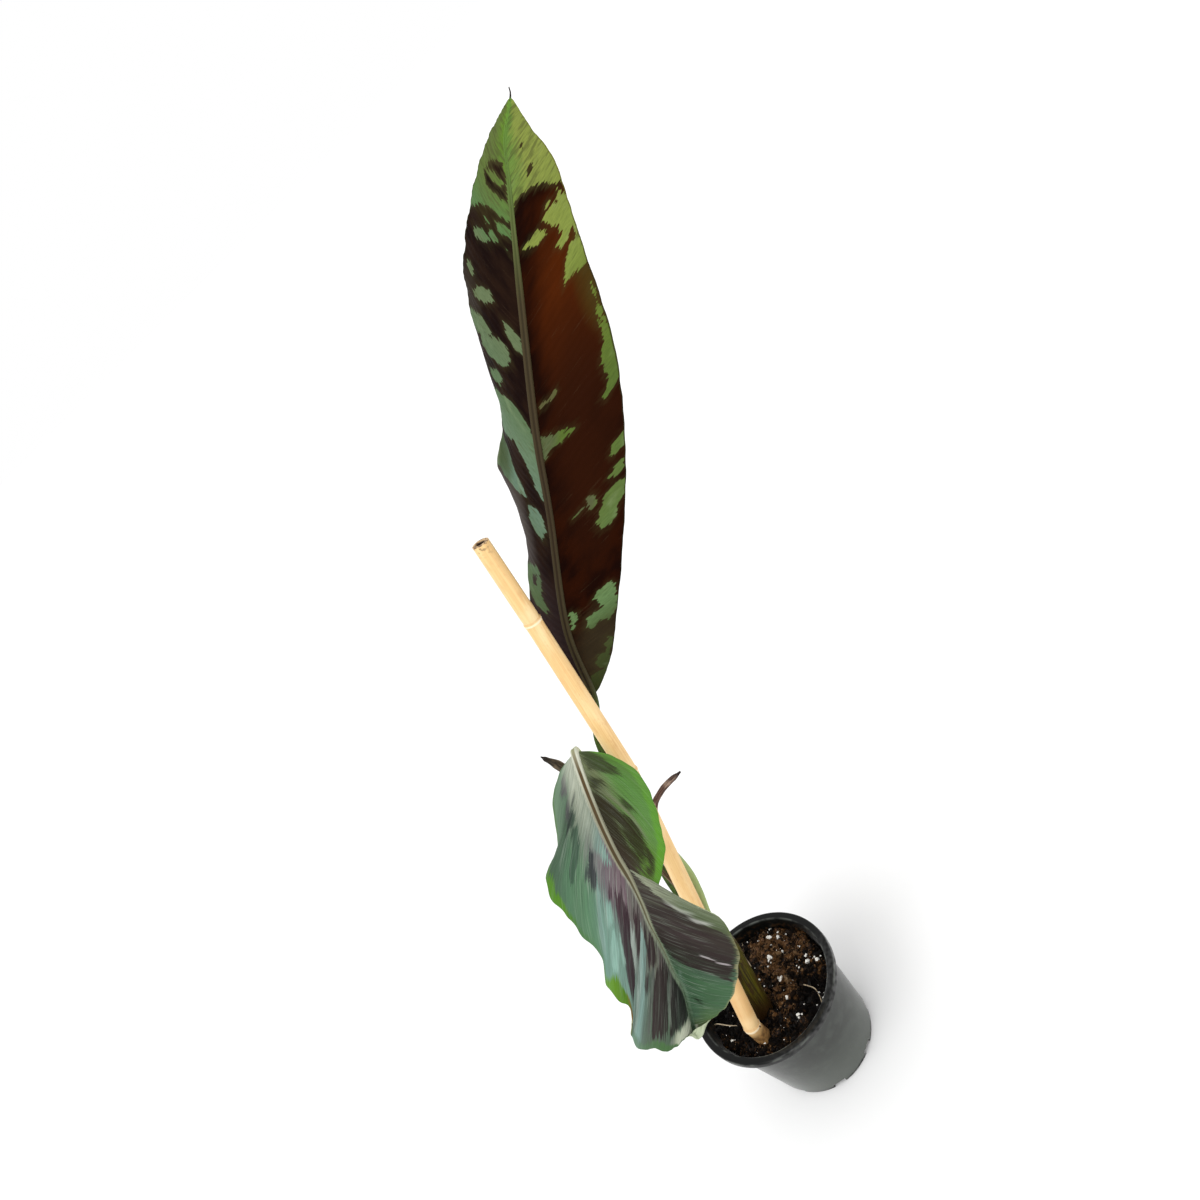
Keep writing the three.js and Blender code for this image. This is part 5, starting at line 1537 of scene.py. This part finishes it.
# lower flap: its whitish and pinkish pale flames near the foot are painted glossy highlights along the veins
lower_streaks = streaked(
    "arching_lower",
    near=[(-0.35, 132, 138, 116), (0.06, 148, 154, 130), (0.15, 132, 138, 116), (0.3, 78, 86, 70),
        (0.5, 68, 92, 70), (0.56, 62, 94, 66), (0.8, 70, 98, 74), (0.9, 88, 96, 52), (1.0, 110, 120, 84)],
    far=[(-0.35, 140, 148, 122), (0.05, 138, 146, 122), (0.11, 112, 122, 96), (0.17, 86, 98, 70),
        (0.3, 60, 62, 48), (0.5, 66, 90, 70), (0.56, 64, 96, 66), (0.7, 62, 92, 64), (0.84, 74, 100, 62),
        (0.9, 88, 96, 50), (1.0, 110, 120, 84)],
    edges=[(-0.35, 140, 146, 118), (0.1, 120, 130, 96), (0.18, 84, 100, 56), (0.26, 128, 126, 92),
        (0.5, 142, 142, 108), (0.8, 110, 124, 80), (1.0, 150, 156, 128)],
    dark=[(-0.35, 60, 52, 46), (0.1, 52, 42, 40), (0.2, 46, 36, 36), (0.3, 54, 44, 44), (0.4, 42, 32, 32),
        (0.5, 44, 36, 34), (0.56, 30, 40, 28), (1.0, 30, 40, 28)],
    pale=[(-0.35, 180, 184, 168), (0.21, 176, 178, 170), (0.3, 168, 160, 162), (0.42, 160, 152, 154),
        (0.46, 96, 92, 90), (0.5, 92, 96, 88), (0.55, 98, 122, 104), (0.8, 104, 128, 108),
        (0.84, 190, 194, 172), (1.0, 204, 206, 186)],
    beside=[(-0.35, 142, 142, 120), (0.2, 136, 140, 118), (0.4, 118, 132, 108), (0.6, 100, 124, 100),
        (1.0, 84, 112, 84)],
    band=2.4, edge_from=0.96, trim=0.62, smoke=0.3)
arch_under = dull_under("arching_under", "pale", (176, 186, 156), (122, 138, 100), (190, 198, 168))
arch_blade = arch_shape.make("arching_blade", left_streaks, upper_streaks, lower_streaks, arch_under)
fit(arch_blade, "leaf_green", "leaf_arching")

arch_radii = [(0, 2.1), (0.3, 2.6), (0.45, 2.6), (0.56, 2.5), (0.7, 2.2), (0.85, 1.6), (1, 0.6)]
arch_rib = arch_fine[:-int(1.5 * fine_steps)]      # it ends short of the curled tip
arch_rib_shape = Shape()
add_rod(arch_rib_shape, arch_rib, 36, stalk_profile(arch_radii, 0.2, 0.54), (0.2, 0.9, 0.1))
arch_rib_skin = ribbed(
    "arching_midrib",
    groove=[(0.53, 150, 146, 120), (0.57, 84, 68, 42), (0.72, 74, 62, 40), (0.82, 94, 92, 70),
        (0.92, 106, 114, 92)],
    ridge=[(0.53, 208, 210, 194), (0.58, 184, 186, 166), (0.64, 150, 149, 127), (0.76, 136, 135, 113),
        (0.88, 128, 136, 114), (1.0, 104, 128, 104)],
    channel=0.4, under=(158, 172, 118), blotch=(66, 96, 40), stalk_end=0.515,
    stalk_colour=(150, 170, 108))
arch_midrib = arch_rib_shape.make("arching_midrib", arch_rib_skin)
fit(arch_midrib, "leaf_green", "leaf_arching")

# Floor, light and camera
# A plain near-white ground in soft light from all round and from one broad far lamp above
# and to the left; the camera looks down from the front, rolled to its right.
floor_mesh = bpy.data.meshes.new("floor")
floor_mesh.from_pydata([(-4, -4, 0), (4, -4, 0), (4, 4, 0), (-4, 4, 0)], [], [(0, 1, 2, 3)])
floor = bpy.data.objects.new("floor", floor_mesh)
bpy.context.scene.collection.objects.link(floor)
paper = Finish("floor_paper", {
    "Base Color": (0.92, 0.92, 0.92, 1), "Roughness": 0.9, "Specular IOR Level": 0.1})
floor_mesh.materials.append(paper.material)

world = bpy.data.worlds.new("studio")
world.use_nodes = True
bpy.context.scene.world = world
sky = world.node_tree.nodes["Background"]
sky.inputs["Color"].default_value = (1, 1, 1, 1)
sky.inputs["Strength"].default_value = 1.0
lamp = bpy.data.lights.new("soft_lamp", "SUN")
lamp.energy = 1.1
lamp.angle = math.radians(40)
light = bpy.data.objects.new("soft_lamp", lamp)
bpy.context.scene.collection.objects.link(light)
light.rotation_euler = Vector((0.7, 0.5, -1.3)).to_track_quat("-Z", "Y").to_euler()

camera_place = Vector((0, -0.497, 0.680))
look_round, look_up, roll = math.radians(10.9), math.radians(-32.2), math.radians(43.4)
forward = Vector((math.sin(look_round) * math.cos(look_up), math.cos(look_round) * math.cos(look_up),
                  math.sin(look_up)))
upright = (Vector((0, 0, 1)) - forward * forward.z).normalized()
upward = math.cos(roll) * upright + math.sin(roll) * forward.cross(upright)
rightward = forward.cross(upward)
lens = bpy.data.cameras.new("camera")
lens.sensor_width = 36
lens.lens = 34.5
lens.clip_start = 0.01
camera = bpy.data.objects.new("camera", lens)
bpy.context.scene.collection.objects.link(camera)
turned = Matrix((rightward, upward, -forward)).transposed().to_4x4()
camera.matrix_world = Matrix.Translation(camera_place) @ turned
bpy.context.scene.camera = camera
bpy.context.scene.view_settings.view_transform = "Standard"
